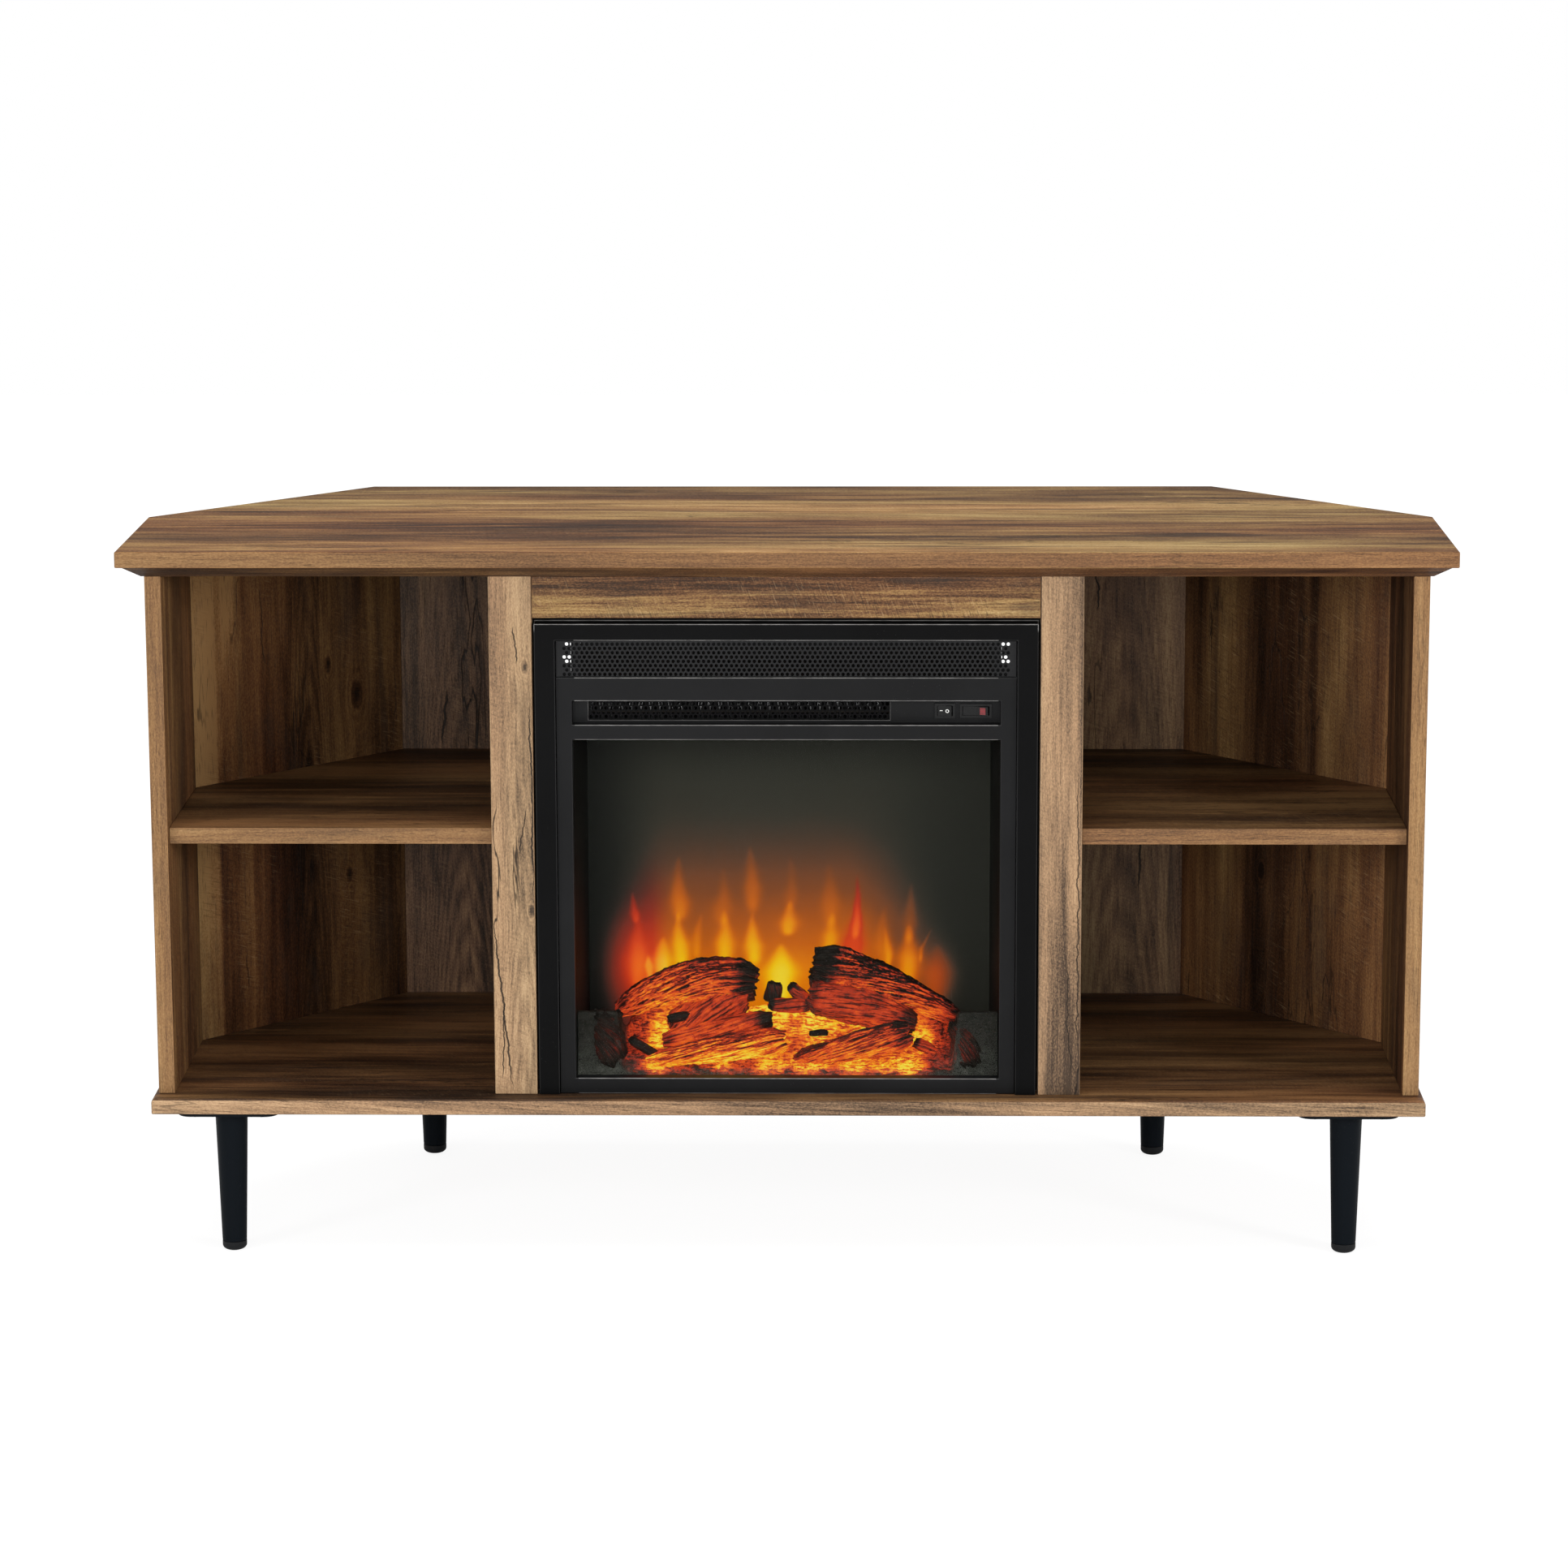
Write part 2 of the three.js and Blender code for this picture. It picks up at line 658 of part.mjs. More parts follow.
function frontBezel() {
  const outline = rectangle(-bezelHalf, bezelHalf, 0, bezelTop);
  const windows = [
    rectangle(-windowHalf, windowHalf, recessBottom, recessTop),
    rectangle(-windowHalf, windowHalf, BOTTOM_RAIL, windowTop),
  ];
  const grown = [
    rectangle(-windowHalf - SHEET, windowHalf + SHEET, recessBottom - SHEET, recessTop + SHEET),
    rectangle(-windowHalf - SHEET, windowHalf + SHEET, BOTTOM_RAIL - SHEET, windowTop + SHEET),
  ];
  const channel = rectangle(-bezelHalf + SHEET, bezelHalf - SHEET, SHEET, bezelTop - SHEET);
  return foldedFrame(outline, channel, BEZEL_SETBACK, BEZEL_DEPTH, windows, grown);
}

function glassPane() {
  const half = windowHalf + WINDOW_LAP;
  const outline = rectangle(-half, half, BOTTOM_RAIL - WINDOW_LAP, windowTop + WINDOW_LAP);
  return facing(outline, bezelBackY + FIT, bezelBackY + FIT + GLASS_THICKNESS);
}

// Controls

function switchBody({ width, height }) {
  return [width - 2 * SWITCH_RIM, height - 2 * SWITCH_RIM];
}

function controlFascia() {
  const half = windowHalf + WINDOW_LAP;
  const outline = rectangle(-half, half, recessBottom - WINDOW_LAP, recessTop + WINDOW_LAP);
  const holes = [centred(OUTLET_OFFSET, recessZ, OUTLET_WIDTH, OUTLET_HEIGHT)];
  for (const size of [POWER_SWITCH, HEAT_SWITCH]) {
    const [width, height] = switchBody(size);
    holes.push(centred(size.x, recessZ, width + 2 * FIT, height + 2 * FIT));
  }
  return pierced(outline, fasciaY, fasciaY + SHEET, holes);
}

function outletGrille() {
  const width = OUTLET_WIDTH + 2 * OUTLET_RIM - 2 * FIT;
  const y0 = fasciaY + SHEET + FIT;
  const count = Math.floor(OUTLET_WIDTH / OUTLET_PITCH);
  const slots = Array.from({ length: count }, (_, i) => centred(
    OUTLET_OFFSET + (i - (count - 1) / 2) * OUTLET_PITCH,
    recessZ,
    OUTLET_PITCH - OUTLET_BAR,
    OUTLET_HEIGHT - OUTLET_BAR,
  ));
  const height = OUTLET_HEIGHT + OUTLET_RIM;
  return pierced(centred(OUTLET_OFFSET, recessZ, width, height), y0, y0 + OUTLET_DEPTH, slots);
}

// The rocker in its own frame: pivot at the origin, face in two halves that meet in a shallow valley.
function rocker(size) {
  const [bodyWidth, bodyHeight] = switchBody(size);
  const half = bodyWidth / 2 - SWITCH_WALL - ROCKER_PLAY;
  const rise = half * Math.tan(ROCKER_TILT);
  const height = bodyHeight - 2 * SWITCH_WALL - 2 * RUNNING_FIT;
  const plan = [
    [-half, -ROCKER_FACE - rise],
    [0, -ROCKER_FACE],
    [half, -ROCKER_FACE - rise],
    [half, 0],
    [half / 2, ROCKER_BODY],
    [-half / 2, ROCKER_BODY],
    [-half, 0],
  ];
  const pinEnd = height / 2 + PIVOT_LENGTH;
  return joined(
    slab(plan, -height / 2, height / 2),
    slab(polygon(0, 0, PIVOT_RADIUS, SPINDLE_SIDES), -pinEnd, pinEnd),
  );
}

function switchHousing(size) {
  const [width, height] = switchBody(size);
  const y0 = fasciaY - FIT - FLANGE_PROUD;
  const y1 = fasciaY + SHEET + SWITCH_DEPTH;
  const pocketHeight = height - 2 * SWITCH_WALL;
  const pivotY = y0 + ROCKER_FACE;
  const pivotHole = slab(
    polygon(size.x, pivotY, PIVOT_RADIUS + 2 * RUNNING_FIT, SPINDLE_SIDES),
    recessZ - pocketHeight / 2 - PIVOT_LENGTH - FIT,
    recessZ + pocketHeight / 2 + PIVOT_LENGTH + FIT,
  );
  const terminals = [-1, 1].map((side) => {
    const x = size.x + (side * width) / 4;
    const lug = centred(x, recessZ, TERMINAL_THICKNESS, TERMINAL);
    return facing(lug, y1 - OVERRUN, y1 + TERMINAL_LENGTH);
  });
  const shell = joined(
    facing(centred(size.x, recessZ, size.width, size.height), y0, fasciaY - FIT),
    facing(centred(size.x, recessZ, width, height), y0, y1),
    ...terminals,
  );
  const pocket = centred(size.x, recessZ, width - 2 * SWITCH_WALL, pocketHeight);
  return cutBy(shell, facing(pocket, y0 - OVERRUN, y1 - SWITCH_WALL), pivotHole);
}

// A switch's rocker, placed on its pivot and pressed at one end.
function placedRocker(name, size, pressed) {
  const mesh = piece(name, rocker(size), BLACK_PLASTIC);
  mesh.position.set(size.x, fasciaY - FIT - FLANGE_PROUD + ROCKER_FACE, recessZ);
  mesh.rotation.z = pressed * ROCKER_TILT;
  return mesh;
}

// Casing

function casing() {
  const flangeHalf = casingHalf + CASING_FLANGE;
  const outer = rectangle(-casingHalf, casingHalf, 0, casingHeight);
  const inner = rectangle(-casingInner, casingInner, SHEET, casingHeight - SHEET);
  const flange = rectangle(-flangeHalf, flangeHalf, 0, casingHeight);
  return joined(
    facing(outer, casingFrontY, casingBackY, [inner]),
    facing(flange, casingFrontY, casingFrontY + SHEET, [inner]),
  );
}

const coverY = casingBackY + FIT;
const glandX = casingHalf - GLAND_INSET;
const glandZ = GLAND_INSET;

function rearCover() {
  const holes = [polygon(glandX, glandZ, GLAND_RADIUS + FIT, GLAND_SIDES)];
  const topRow = casingHeight - 2 * COVER_SLOT_PITCH;
  for (let row = 0; row < COVER_SLOT_ROWS; row++) {
    for (let column = 0; column < COVER_SLOT_COLUMNS; column++) {
      const x = (column - (COVER_SLOT_COLUMNS - 1) / 2) * COVER_SLOT_SPACING;
      const z = topRow - row * COVER_SLOT_PITCH;
      holes.push(centred(x, z, COVER_SLOT_LENGTH, COVER_SLOT_HEIGHT));
    }
  }
  return pierced(rectangle(-casingHalf, casingHalf, 0, casingHeight), coverY, coverY + SHEET, holes);
}

// A grommet that grips the cover's hole from both sides.
function cordGland() {
  const waist = SHEET + 2 * FIT;
  const lip = GLAND_FLANGE;
  const profile = [
    [GLAND_BORE, -waist / 2 - lip],
    [GLAND_RADIUS, -waist / 2 - lip],
    [GLAND_RADIUS + lip, -waist / 2],
    [GLAND_RADIUS, -waist / 2],
    [GLAND_RADIUS, waist / 2],
    [GLAND_RADIUS + lip, waist / 2],
    [GLAND_RADIUS, waist / 2 + lip],
    [GLAND_BORE, waist / 2 + lip],
    [GLAND_BORE, -waist / 2 - lip],
  ];
  return turned(profile, GLAND_SIDES).rotateX(Math.PI / 2).translate(glandX, coverY + SHEET / 2, glandZ);
}

// An angle that ties the casing's side to the cabinet's floor.
function insertBracket(side) {
  const x0 = casingHalf + FIT;
  const angle = [
    [x0, 0], [x0 + BRACKET_LEG, 0], [x0 + BRACKET_LEG, SHEET],
    [x0 + SHEET, SHEET], [x0 + SHEET, BRACKET_LEG], [x0, BRACKET_LEG],
  ].map(([x, z]) => [side * x, z]);
  const y0 = casingFrontY + (CASING_DEPTH - BRACKET_WIDTH) / 2;
  const head = turned([
    [0, 0],
    [SCREW_HEAD_RADIUS, 0],
    [SCREW_HEAD_RADIUS, SHEET * 2],
    [SCREW_HEAD_RADIUS / 2, SHEET * 2 + SCREW_HEAD_HEIGHT / 2],
    [0, SHEET * 2 + SCREW_HEAD_HEIGHT / 2],
  ], SCREW_SIDES);
  const headX = side * (x0 + BRACKET_LEG / 2);
  return joined(
    facing(angle, y0, y0 + BRACKET_WIDTH),
    head.translate(headX, y0 + BRACKET_WIDTH / 2, SHEET / 2),
  );
}

// Firebox

const fireboxY0 = bezelBackY + 2 * FIT + GLASS_THICKNESS;
const screenY = bezelBackY + GLASS_THICKNESS + SCREEN_SETBACK;
const fireboxFloor = SHEET + FIT;
const fireboxTop = windowTop + 2 * WINDOW_LAP;
const frontHalf = casingInner - FIT;
const screenHalf = frontHalf - FIREBOX_TAPER;

// The firebox narrows towards the screen.
function fireboxHalf(y) {
  return frontHalf - (FIREBOX_TAPER * (y - fireboxY0)) / (screenY - fireboxY0);
}

function fireboxLiner() {
  const y1 = screenY - FIT;
  const wall = [
    [fireboxHalf(fireboxY0), fireboxY0],
    [fireboxHalf(y1), y1],
    [fireboxHalf(y1) - SHEET, y1],
    [fireboxHalf(fireboxY0) - SHEET, fireboxY0],
  ];
  const mirrored = wall.map(([x, y]) => [-x, y]);
  const ceiling = [wall[0], wall[1], mirrored[1], mirrored[0]];
  return joined(
    slab(wall, fireboxFloor, fireboxTop),
    slab(mirrored, fireboxFloor, fireboxTop),
    slab(ceiling, fireboxTop - SHEET, fireboxTop),
  );
}

function flameScreen() {
  const outline = rectangle(-screenHalf, screenHalf, fireboxFloor, fireboxTop);
  return facing(outline, screenY, screenY + SCREEN_THICKNESS);
}

// Each log has a bent axis, a thickness that varies along it, and a rough bark. The places are shares of
// the firebox's half width, of its depth and of the log set's height; the radii are shares of LOG_RADIUS.
const LOOSE_LOG_SHARES = {
  log_left: {
    axis: [[-0.81, 0.55, 0.5], [-0.505, 0.55, 0.815], [-0.16, 0.53, 0.715]], radii: [0.5, 1.05, 0.95],
  },
  log_right: {
    axis: [[0.81, 0.55, 0.435], [0.505, 0.55, 0.715], [0.12, 0.55, 0.865]], radii: [0.45, 0.95, 1.05],
  },
  log_front_left: {
    axis: [[-0.605, 0.2, 0.215], [-0.3, 0.19, 0.285], [-0.01, 0.22, 0.34]], radii: [0.45, 0.65, 0.65],
  },
  log_front_right: {
    axis: [[0.05, 0.2, 0.215], [0.3, 0.19, 0.315], [0.56, 0.23, 0.41]], radii: [0.5, 0.6, 0.6],
  },
};
// Smaller pieces that are moulded in one with the ember bed.
const MOULDED_LOG_SHARES = [
  { axis: [[-0.57, 0.32, 0.325], [-0.3, 0.33, 0.415], [-0.065, 0.35, 0.51]], radii: [0.4, 0.45, 0.35] },
  { axis: [[0.11, 0.44, 0.615], [0.3, 0.42, 0.55], [0.495, 0.39, 0.465]], radii: [0.6, 0.7, 0.55] },
  { axis: [[-0.04, 0.42, 0.5], [0, 0.43, 0.64], [0.03, 0.44, 0.75]], radii: [0.55, 0.6, 0.45] },
  { axis: [[-0.54, 0.52, 0.3], [-0.42, 0.55, 0.48], [-0.36, 0.55, 0.58]], radii: [0.6, 0.7, 0.5] },
];
const BARK = [
  { ridges: 3, twist: 4, depthShare: 0.07 },
  { ridges: 5, twist: 9, depthShare: 0.05 },
];
const LOG_END_SHARES = [0.7, 0.93]; // thickness of the first two rings from an end

function mix(a, b, t) {
  return a + (b - a) * t;
}

// Position along a curve with one bend, for a number or for each coordinate.
function bent([a, b, c], t) {
  return mix(mix(a, b, t), mix(b, c, t), t);
}

function logPoint([x, y, z]) {
  return new THREE.Vector3(x * frontHalf, mix(fireboxY0, screenY, y), z * LOG_SET_HEIGHT);
}

function logGeometry({ axis, radii }, growth = 0) {
  const curve = new THREE.QuadraticBezierCurve3(...axis.map(logPoint));
  const phase = axis[0][0] * Math.PI * 2;
  const up = new THREE.Vector3(0, 0, 1);
  const rings = [];
  for (let ring = 0; ring < LOG_RINGS; ring++) {
    const t = ring / (LOG_RINGS - 1);
    const fromEnd = Math.min(ring, LOG_RINGS - 1 - ring);
    const end = LOG_END_SHARES[fromEnd] ?? 1;
    const centre = curve.getPoint(t);
    const along = curve.getTangent(t);
    const across = new THREE.Vector3().crossVectors(up, along).normalize();
    const over = new THREE.Vector3().crossVectors(along, across);
    rings.push(Array.from({ length: LOG_SIDES }, (_, i) => {
      const angle = (2 * Math.PI * i) / LOG_SIDES;
      const bark = BARK.reduce((sum, { ridges, twist, depthShare }) => (
        sum + depthShare * Math.sin(ridges * angle + twist * t + phase)
      ), 1);
      const radius = LOG_RADIUS * bent(radii, t) * end * bark + growth;
      return centre.clone()
        .addScaledVector(across, radius * Math.cos(angle))
        .addScaledVector(over, radius * Math.sin(angle))
        .toArray();
    }));
  }
  return lofted(rings);
}

// The glowing bed: low at the front, higher under the back logs, with a block of ash in each corner.
const BED_SLOPE_SHARE = 0.35; // of the depth, where the front slope ends
const BED_RISE_SHARE = 0.5; // of the depth, where the bed is highest
const BED_BLOCK_SHARES = [0.08, 0.24]; // of the depth, over which the ash blocks rise

function bump(distance, spread, power = 2) {
  return Math.exp(-(Math.abs(distance / spread) ** power));
}

function bedHeight(x, y) {
  const depth = (y - fireboxY0) / (screenY - fireboxY0);
  const slope = mix(BED_FRONT_HEIGHT, BED_MIDDLE_HEIGHT, Math.min(1, depth / BED_SLOPE_SHARE));
  const behind = y - mix(fireboxY0, screenY, BED_RISE_SHARE);
  const under = BED_RISE * bump(x, BED_RISE_WIDTH) * bump(behind, BED_RISE_DEPTH);
  const block = bump(fireboxHalf(y) - Math.abs(x), BED_CORNER_WIDTH, BED_CORNER_STEEPNESS)
    * THREE.MathUtils.smoothstep(depth, ...BED_BLOCK_SHARES);
  const a = x / RIPPLE_LENGTH;
  const b = y / RIPPLE_LENGTH;
  const ripple = (BED_RIPPLE * (Math.sin(a + 2 * b) + Math.sin(2 * a - b))) / 2;
  return mix(slope + under, BED_CORNER_HEIGHT, block) + ripple;
}

function bedSurface() {
  const y0 = fireboxY0 + FIT;
  const y1 = screenY - FIT;
  const rings = [];
  for (let column = 0; column <= BED_COLUMNS; column++) {
    const u = (2 * column) / BED_COLUMNS - 1;
    const ring = [];
    for (let row = 0; row <= BED_ROWS; row++) {
      const y = mix(y0, y1, row / BED_ROWS);
      const x = u * (fireboxHalf(y) - SHEET - FIT);
      ring.push([x, y, bedHeight(x, y)]);
    }
    const [first, last] = [ring[0], ring[BED_ROWS]];
    ring.push([last[0], y1, fireboxFloor], [first[0], y0, fireboxFloor]);
    rings.push(ring.reverse());
  }
  return lofted(rings);
}

function firebox() {
  const group = new THREE.Group();
  group.add(piece('firebox_liner', fireboxLiner(), BLACK_SHEET));
  group.add(piece('flame_screen', flameScreen(), FLAME_SCREEN));
  const grown = [];
  for (const [name, log] of Object.entries(LOOSE_LOG_SHARES)) {
    group.add(piece(name, cutBy(logGeometry(log), ...grown), CHAR));
    grown.push(logGeometry(log, FIT));
  }
  const moulded = joined(bedSurface(), ...MOULDED_LOG_SHARES.map((log) => logGeometry(log)));
  group.add(piece('ember_bed', cutBy(moulded, ...grown), EMBER));
  return group;
}

// Flame effect

const spindleY = screenY + SCREEN_THICKNESS + SPINDLE_SETBACK;
const motorFaceX = casingInner - FIT - SPINDLE_MOTOR_LENGTH;
const bearingFaceX = -casingInner + FIT + BEARING_SIZE / 2;

function spindle() {
  const x0 = bearingFaceX - BEARING_SIZE / 4;
  const x1 = motorFaceX + SPINDLE_MOTOR_LENGTH / 2;
  const shaft = section(polygon(0, 0, SPINDLE_RADIUS, SPINDLE_SIDES), x0, x1);
  const span = motorFaceX - bearingFaceX;
  const tabs = Array.from({ length: TAB_COUNT }, (_, i) => {
    const x = bearingFaceX + ((i + 1) * span) / (TAB_COUNT + 1);
    const tab = centred(0, 0, 2 * TAB_LENGTH, TAB_THICKNESS);
    return section(tab, -TAB_WIDTH / 2, TAB_WIDTH / 2).rotateX(i * TAB_TURN).translate(x, 0, 0);
  });
  return joined(shaft, ...tabs);
}

function bored(outline, hole, x0, x1, boreX0, boreX1) {
  return cutBy(section(outline, x0, x1), section(hole, boreX0, boreX1));
}

const spindleBore = polygon(spindleY, SPINDLE_HEIGHT, SPINDLE_RADIUS + 2 * RUNNING_FIT, SPINDLE_SIDES);

function spindleMotor() {
  const body = polygon(spindleY, SPINDLE_HEIGHT, SPINDLE_MOTOR_RADIUS, LEG_SIDES);
  const x1 = motorFaceX + SPINDLE_MOTOR_LENGTH;
  const deep = motorFaceX + SPINDLE_MOTOR_LENGTH / 2 + FIT;
  return bored(body, spindleBore, motorFaceX, x1, motorFaceX - OVERRUN, deep);
}

function spindleBearing() {
  const body = centred(spindleY, SPINDLE_HEIGHT, BEARING_SIZE, BEARING_SIZE);
  const x0 = -casingInner + FIT;
  const deep = bearingFaceX - BEARING_SIZE / 4 - FIT;
  return bored(body, spindleBore, x0, bearingFaceX, deep, bearingFaceX + OVERRUN);
}

function ledStrip() {
  const half = screenHalf - BEARING_SIZE;
  const y0 = screenY + SCREEN_THICKNESS + FIT;
  const board = rectangle(-half, half, y0, y0 + LED_BOARD_WIDTH);
  const z1 = fireboxFloor + LED_BOARD_THICKNESS;
  const leds = Array.from({ length: LED_COUNT }, (_, i) => {
    const x = ((i + 1 / 2) / LED_COUNT) * 2 * half - half;
    const chip = centred(x, y0 + LED_BOARD_WIDTH / 2, LED_SIZE, LED_SIZE);
    return slab(chip, z1 - LED_BOARD_THICKNESS / 2, z1 + LED_BOARD_THICKNESS);
  });
  return joined(slab(board, fireboxFloor, z1), ...leds);
}

// Heater: a cross-flow fan blows through a finned element and out of the grille.

const outletLeft = OUTLET_OFFSET - OUTLET_WIDTH / 2;
const outletRight = OUTLET_OFFSET + OUTLET_WIDTH / 2;
const grilleBackY = fasciaY + SHEET + FIT + OUTLET_DEPTH;
const fanY = fasciaY + FAN_SETBACK;
const heaterFloorZ = fireboxTop + FIT;
const scrollRadius = FAN_RADIUS + FAN_PLAY;
const fanZ = heaterFloorZ + HOUSING_WALL + scrollRadius;

// A strip of even thickness along a line of points.
function strip(points, thickness) {
  const left = [];
  const right = [];
  points.forEach(([y, z], i) => {
    const before = points[Math.max(0, i - 1)];
    const after = points[Math.min(points.length - 1, i + 1)];
    const length = Math.hypot(after[0] - before[0], after[1] - before[1]);
    const ny = -(after[1] - before[1]) / length;
    const nz = (after[0] - before[0]) / length;
    left.push([y + (ny * thickness) / 2, z + (nz * thickness) / 2]);
    right.unshift([y - (ny * thickness) / 2, z - (nz * thickness) / 2]);
  });
  return [...left, ...right];
}

function blowerHousing() {
  const wall = scrollRadius + HOUSING_WALL / 2;
  const ductY = grilleBackY + FIT;
  const scroll = Array.from({ length: HOUSING_ARC_STEPS + 1 }, (_, i) => {
    const share = i / HOUSING_ARC_STEPS;
    const angle = -Math.PI / 2 + share * HOUSING_ARC;
    const radius = wall + HOUSING_SPREAD * share;
    return [fanY + radius * Math.cos(angle), fanZ + radius * Math.sin(angle)];
  });
  const guide = strip([[ductY, scroll[0][1]], ...scroll], HOUSING_WALL);
  const roofZ = recessZ + OUTLET_HEIGHT / 2 + HOUSING_WALL;
  const tongueY = fanY - wall * Math.cos(TONGUE_ANGLE);
  const tongue = strip([[ductY, roofZ], [tongueY, fanZ + wall / 2]], HOUSING_WALL);
  const endTop = fanZ + wall;
  const end = [
    [ductY, heaterFloorZ], [fanY + wall + HOUSING_SPREAD, heaterFloorZ],
    [fanY + wall + HOUSING_SPREAD, fanZ + wall / 2], [fanY + wall / 2, endTop],
    [fanY - wall / 2, endTop], [ductY, roofZ + HOUSING_WALL],
  ];
  const bore = polygon(fanY, fanZ, FAN_SHAFT_RADIUS + 2 * RUNNING_FIT, SPINDLE_SIDES);
  const x0 = outletLeft - HOUSING_WALL;
  const x1 = outletRight + HOUSING_WALL;
  return joined(
    section(guide, x0, x1),
    section(tongue, x0, x1),
    section(end, x0, outletLeft, [bore]),
    section(end, outletRight, x1, [bore]),
  );
}

function blowerFan() {
  const x0 = outletLeft + FAN_PLAY;
  const x1 = outletRight - FAN_PLAY;
  const middle = (x0 + x1) / 2;
  const discs = [x0, middle - FAN_DISC / 2, x1 - FAN_DISC].map((x) => (
    section(polygon(0, 0, FAN_RADIUS, FAN_BLADES), x, x + FAN_DISC)
  ));
  const blades = Array.from({ length: FAN_BLADES }, (_, i) => {
    const chord = FAN_RADIUS - FAN_HUB_RADIUS;
    return section(centred(0, 0, chord, BLADE_THICKNESS), x0 + FAN_DISC / 2, x1 - FAN_DISC / 2)
      .rotateX(BLADE_LEAN)
      .translate(0, (FAN_RADIUS + FAN_HUB_RADIUS) / 2 - BLADE_THICKNESS / 2, 0)
      .rotateX((2 * Math.PI * i) / FAN_BLADES);
  });
  const journal = polygon(0, 0, FAN_SHAFT_RADIUS, SPINDLE_SIDES);
  const stubs = [
    section(journal, x0 - FAN_SHAFT_STUB, x0 + FAN_DISC / 2),
    section(journal, x1 - FAN_DISC / 2, x1 + FAN_PLAY + HOUSING_WALL + FAN_SHAFT_STUB),
  ];
  return joined(...discs, ...blades, ...stubs);
}

function fanMotor() {
  const x0 = outletRight + HOUSING_WALL + FIT;
  const x1 = x0 + FAN_MOTOR_LENGTH;
  const deep = x0 + FAN_SHAFT_STUB + FIT;
  const body = polygon(fanY, fanZ, FAN_MOTOR_RADIUS, LEG_SIDES);
  const bore = polygon(fanY, fanZ, FAN_SHAFT_RADIUS + 2 * RUNNING_FIT, SPINDLE_SIDES);
  return bored(body, bore, x0, x1, x0 - OVERRUN, deep);
}

function heatingElement() {
  const y0 = grilleBackY + HEATER_SETBACK;
  const z0 = heaterFloorZ + 2 * HOUSING_WALL;
  const z1 = recessZ + OUTLET_HEIGHT / 2 - FIT;
  const x0 = outletLeft + FIT;
  const x1 = outletRight - FIT;
  const count = Math.floor((x1 - x0 - 2 * HEATER_RIM) / HEATER_PITCH);
  const low = z0 + HEATER_RIM;
  const high = z1 - HEATER_RIM;
  const holes = [];
  for (let i = 0; i < count; i++) {
    const a = OUTLET_OFFSET + (i - count / 2) * HEATER_PITCH;
    const b = a + HEATER_PITCH;
    const crest = (a + b) / 2;
    const crestBefore = crest - HEATER_PITCH;
    holes.push([[a + HEATER_FIN, low], [b - HEATER_FIN, low], [crest, high - HEATER_FIN]]);
    if (i > 0) {
      holes.push([[a, low + HEATER_FIN], [crest - HEATER_FIN, high], [crestBefore + HEATER_FIN, high]]);
    }
  }
  return pierced(rectangle(x0, x1, z0, z1), y0, y0 + HEATER_DEPTH, holes);
}

function insert() {
  const group = new THREE.Group();
  group.position.set(0, caseFrontY - INSERT_PROUD, floorZ + FIT);
  group.add(piece('trim_frame', trimFrame(), BLACK_SHEET));
  group.add(piece('vent_grille', ventGrille(), BLACK_SHEET));
  group.add(piece('front_bezel', frontBezel(), BLACK_SHEET));
  group.add(piece('glass_pane', glassPane(), SMOKED_GLASS));
  group.add(piece('control_fascia', controlFascia(), BLACK_SHEET));
  group.add(piece('outlet_grille', outletGrille(), BLACK_SHEET));
  group.add(piece('power_switch', switchHousing(POWER_SWITCH), BLACK_PLASTIC));
  group.add(piece('heat_switch', switchHousing(HEAT_SWITCH), BLACK_PLASTIC));
  group.add(placedRocker('power_rocker', POWER_SWITCH, -1));
  group.add(placedRocker('heat_rocker', HEAT_SWITCH, -1));
  group.add(piece('casing', casing(), BLACK_SHEET));
  group.add(piece('rear_cover', rearCover(), BLACK_SHEET));
  group.add(piece('cord_gland', cordGland(), BLACK_PLASTIC));
  group.add(piece('insert_bracket_left', insertBracket(-1), RAW_STEEL));
  group.add(piece('insert_bracket_right', insertBracket(1), RAW_STEEL));
  group.add(firebox());
  const spindleMesh = piece('flame_spindle', spindle(), RAW_STEEL);
  spindleMesh.position.set(0, spindleY, SPINDLE_HEIGHT);
  group.add(spindleMesh);
  group.add(piece('spindle_motor', spindleMotor(), RAW_STEEL));
  group.add(piece('spindle_bearing', spindleBearing(), BLACK_PLASTIC));
  group.add(piece('led_strip', ledStrip(), BOARD_WHITE));
  group.add(piece('blower_housing', blowerHousing(), RAW_STEEL));
  const fanMesh = piece('blower_fan', blowerFan(), BLACK_PLASTIC);
  fanMesh.position.set(0, fanY, fanZ);
  group.add(fanMesh);
  group.add(piece('blower_motor', fanMotor(), RAW_STEEL));
  group.add(piece('heating_element', heatingElement(), RAW_STEEL));
  return group;
}

const stand = new THREE.Group();
stand.add(cabinet(), legs(), insert());

export default stand;
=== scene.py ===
"""Finishes a corner cabinet with an electric fire: boards, steel front, logs, flames and studio."""

import itertools
import math

import bpy
import numpy as np
from mathutils import Matrix, Vector


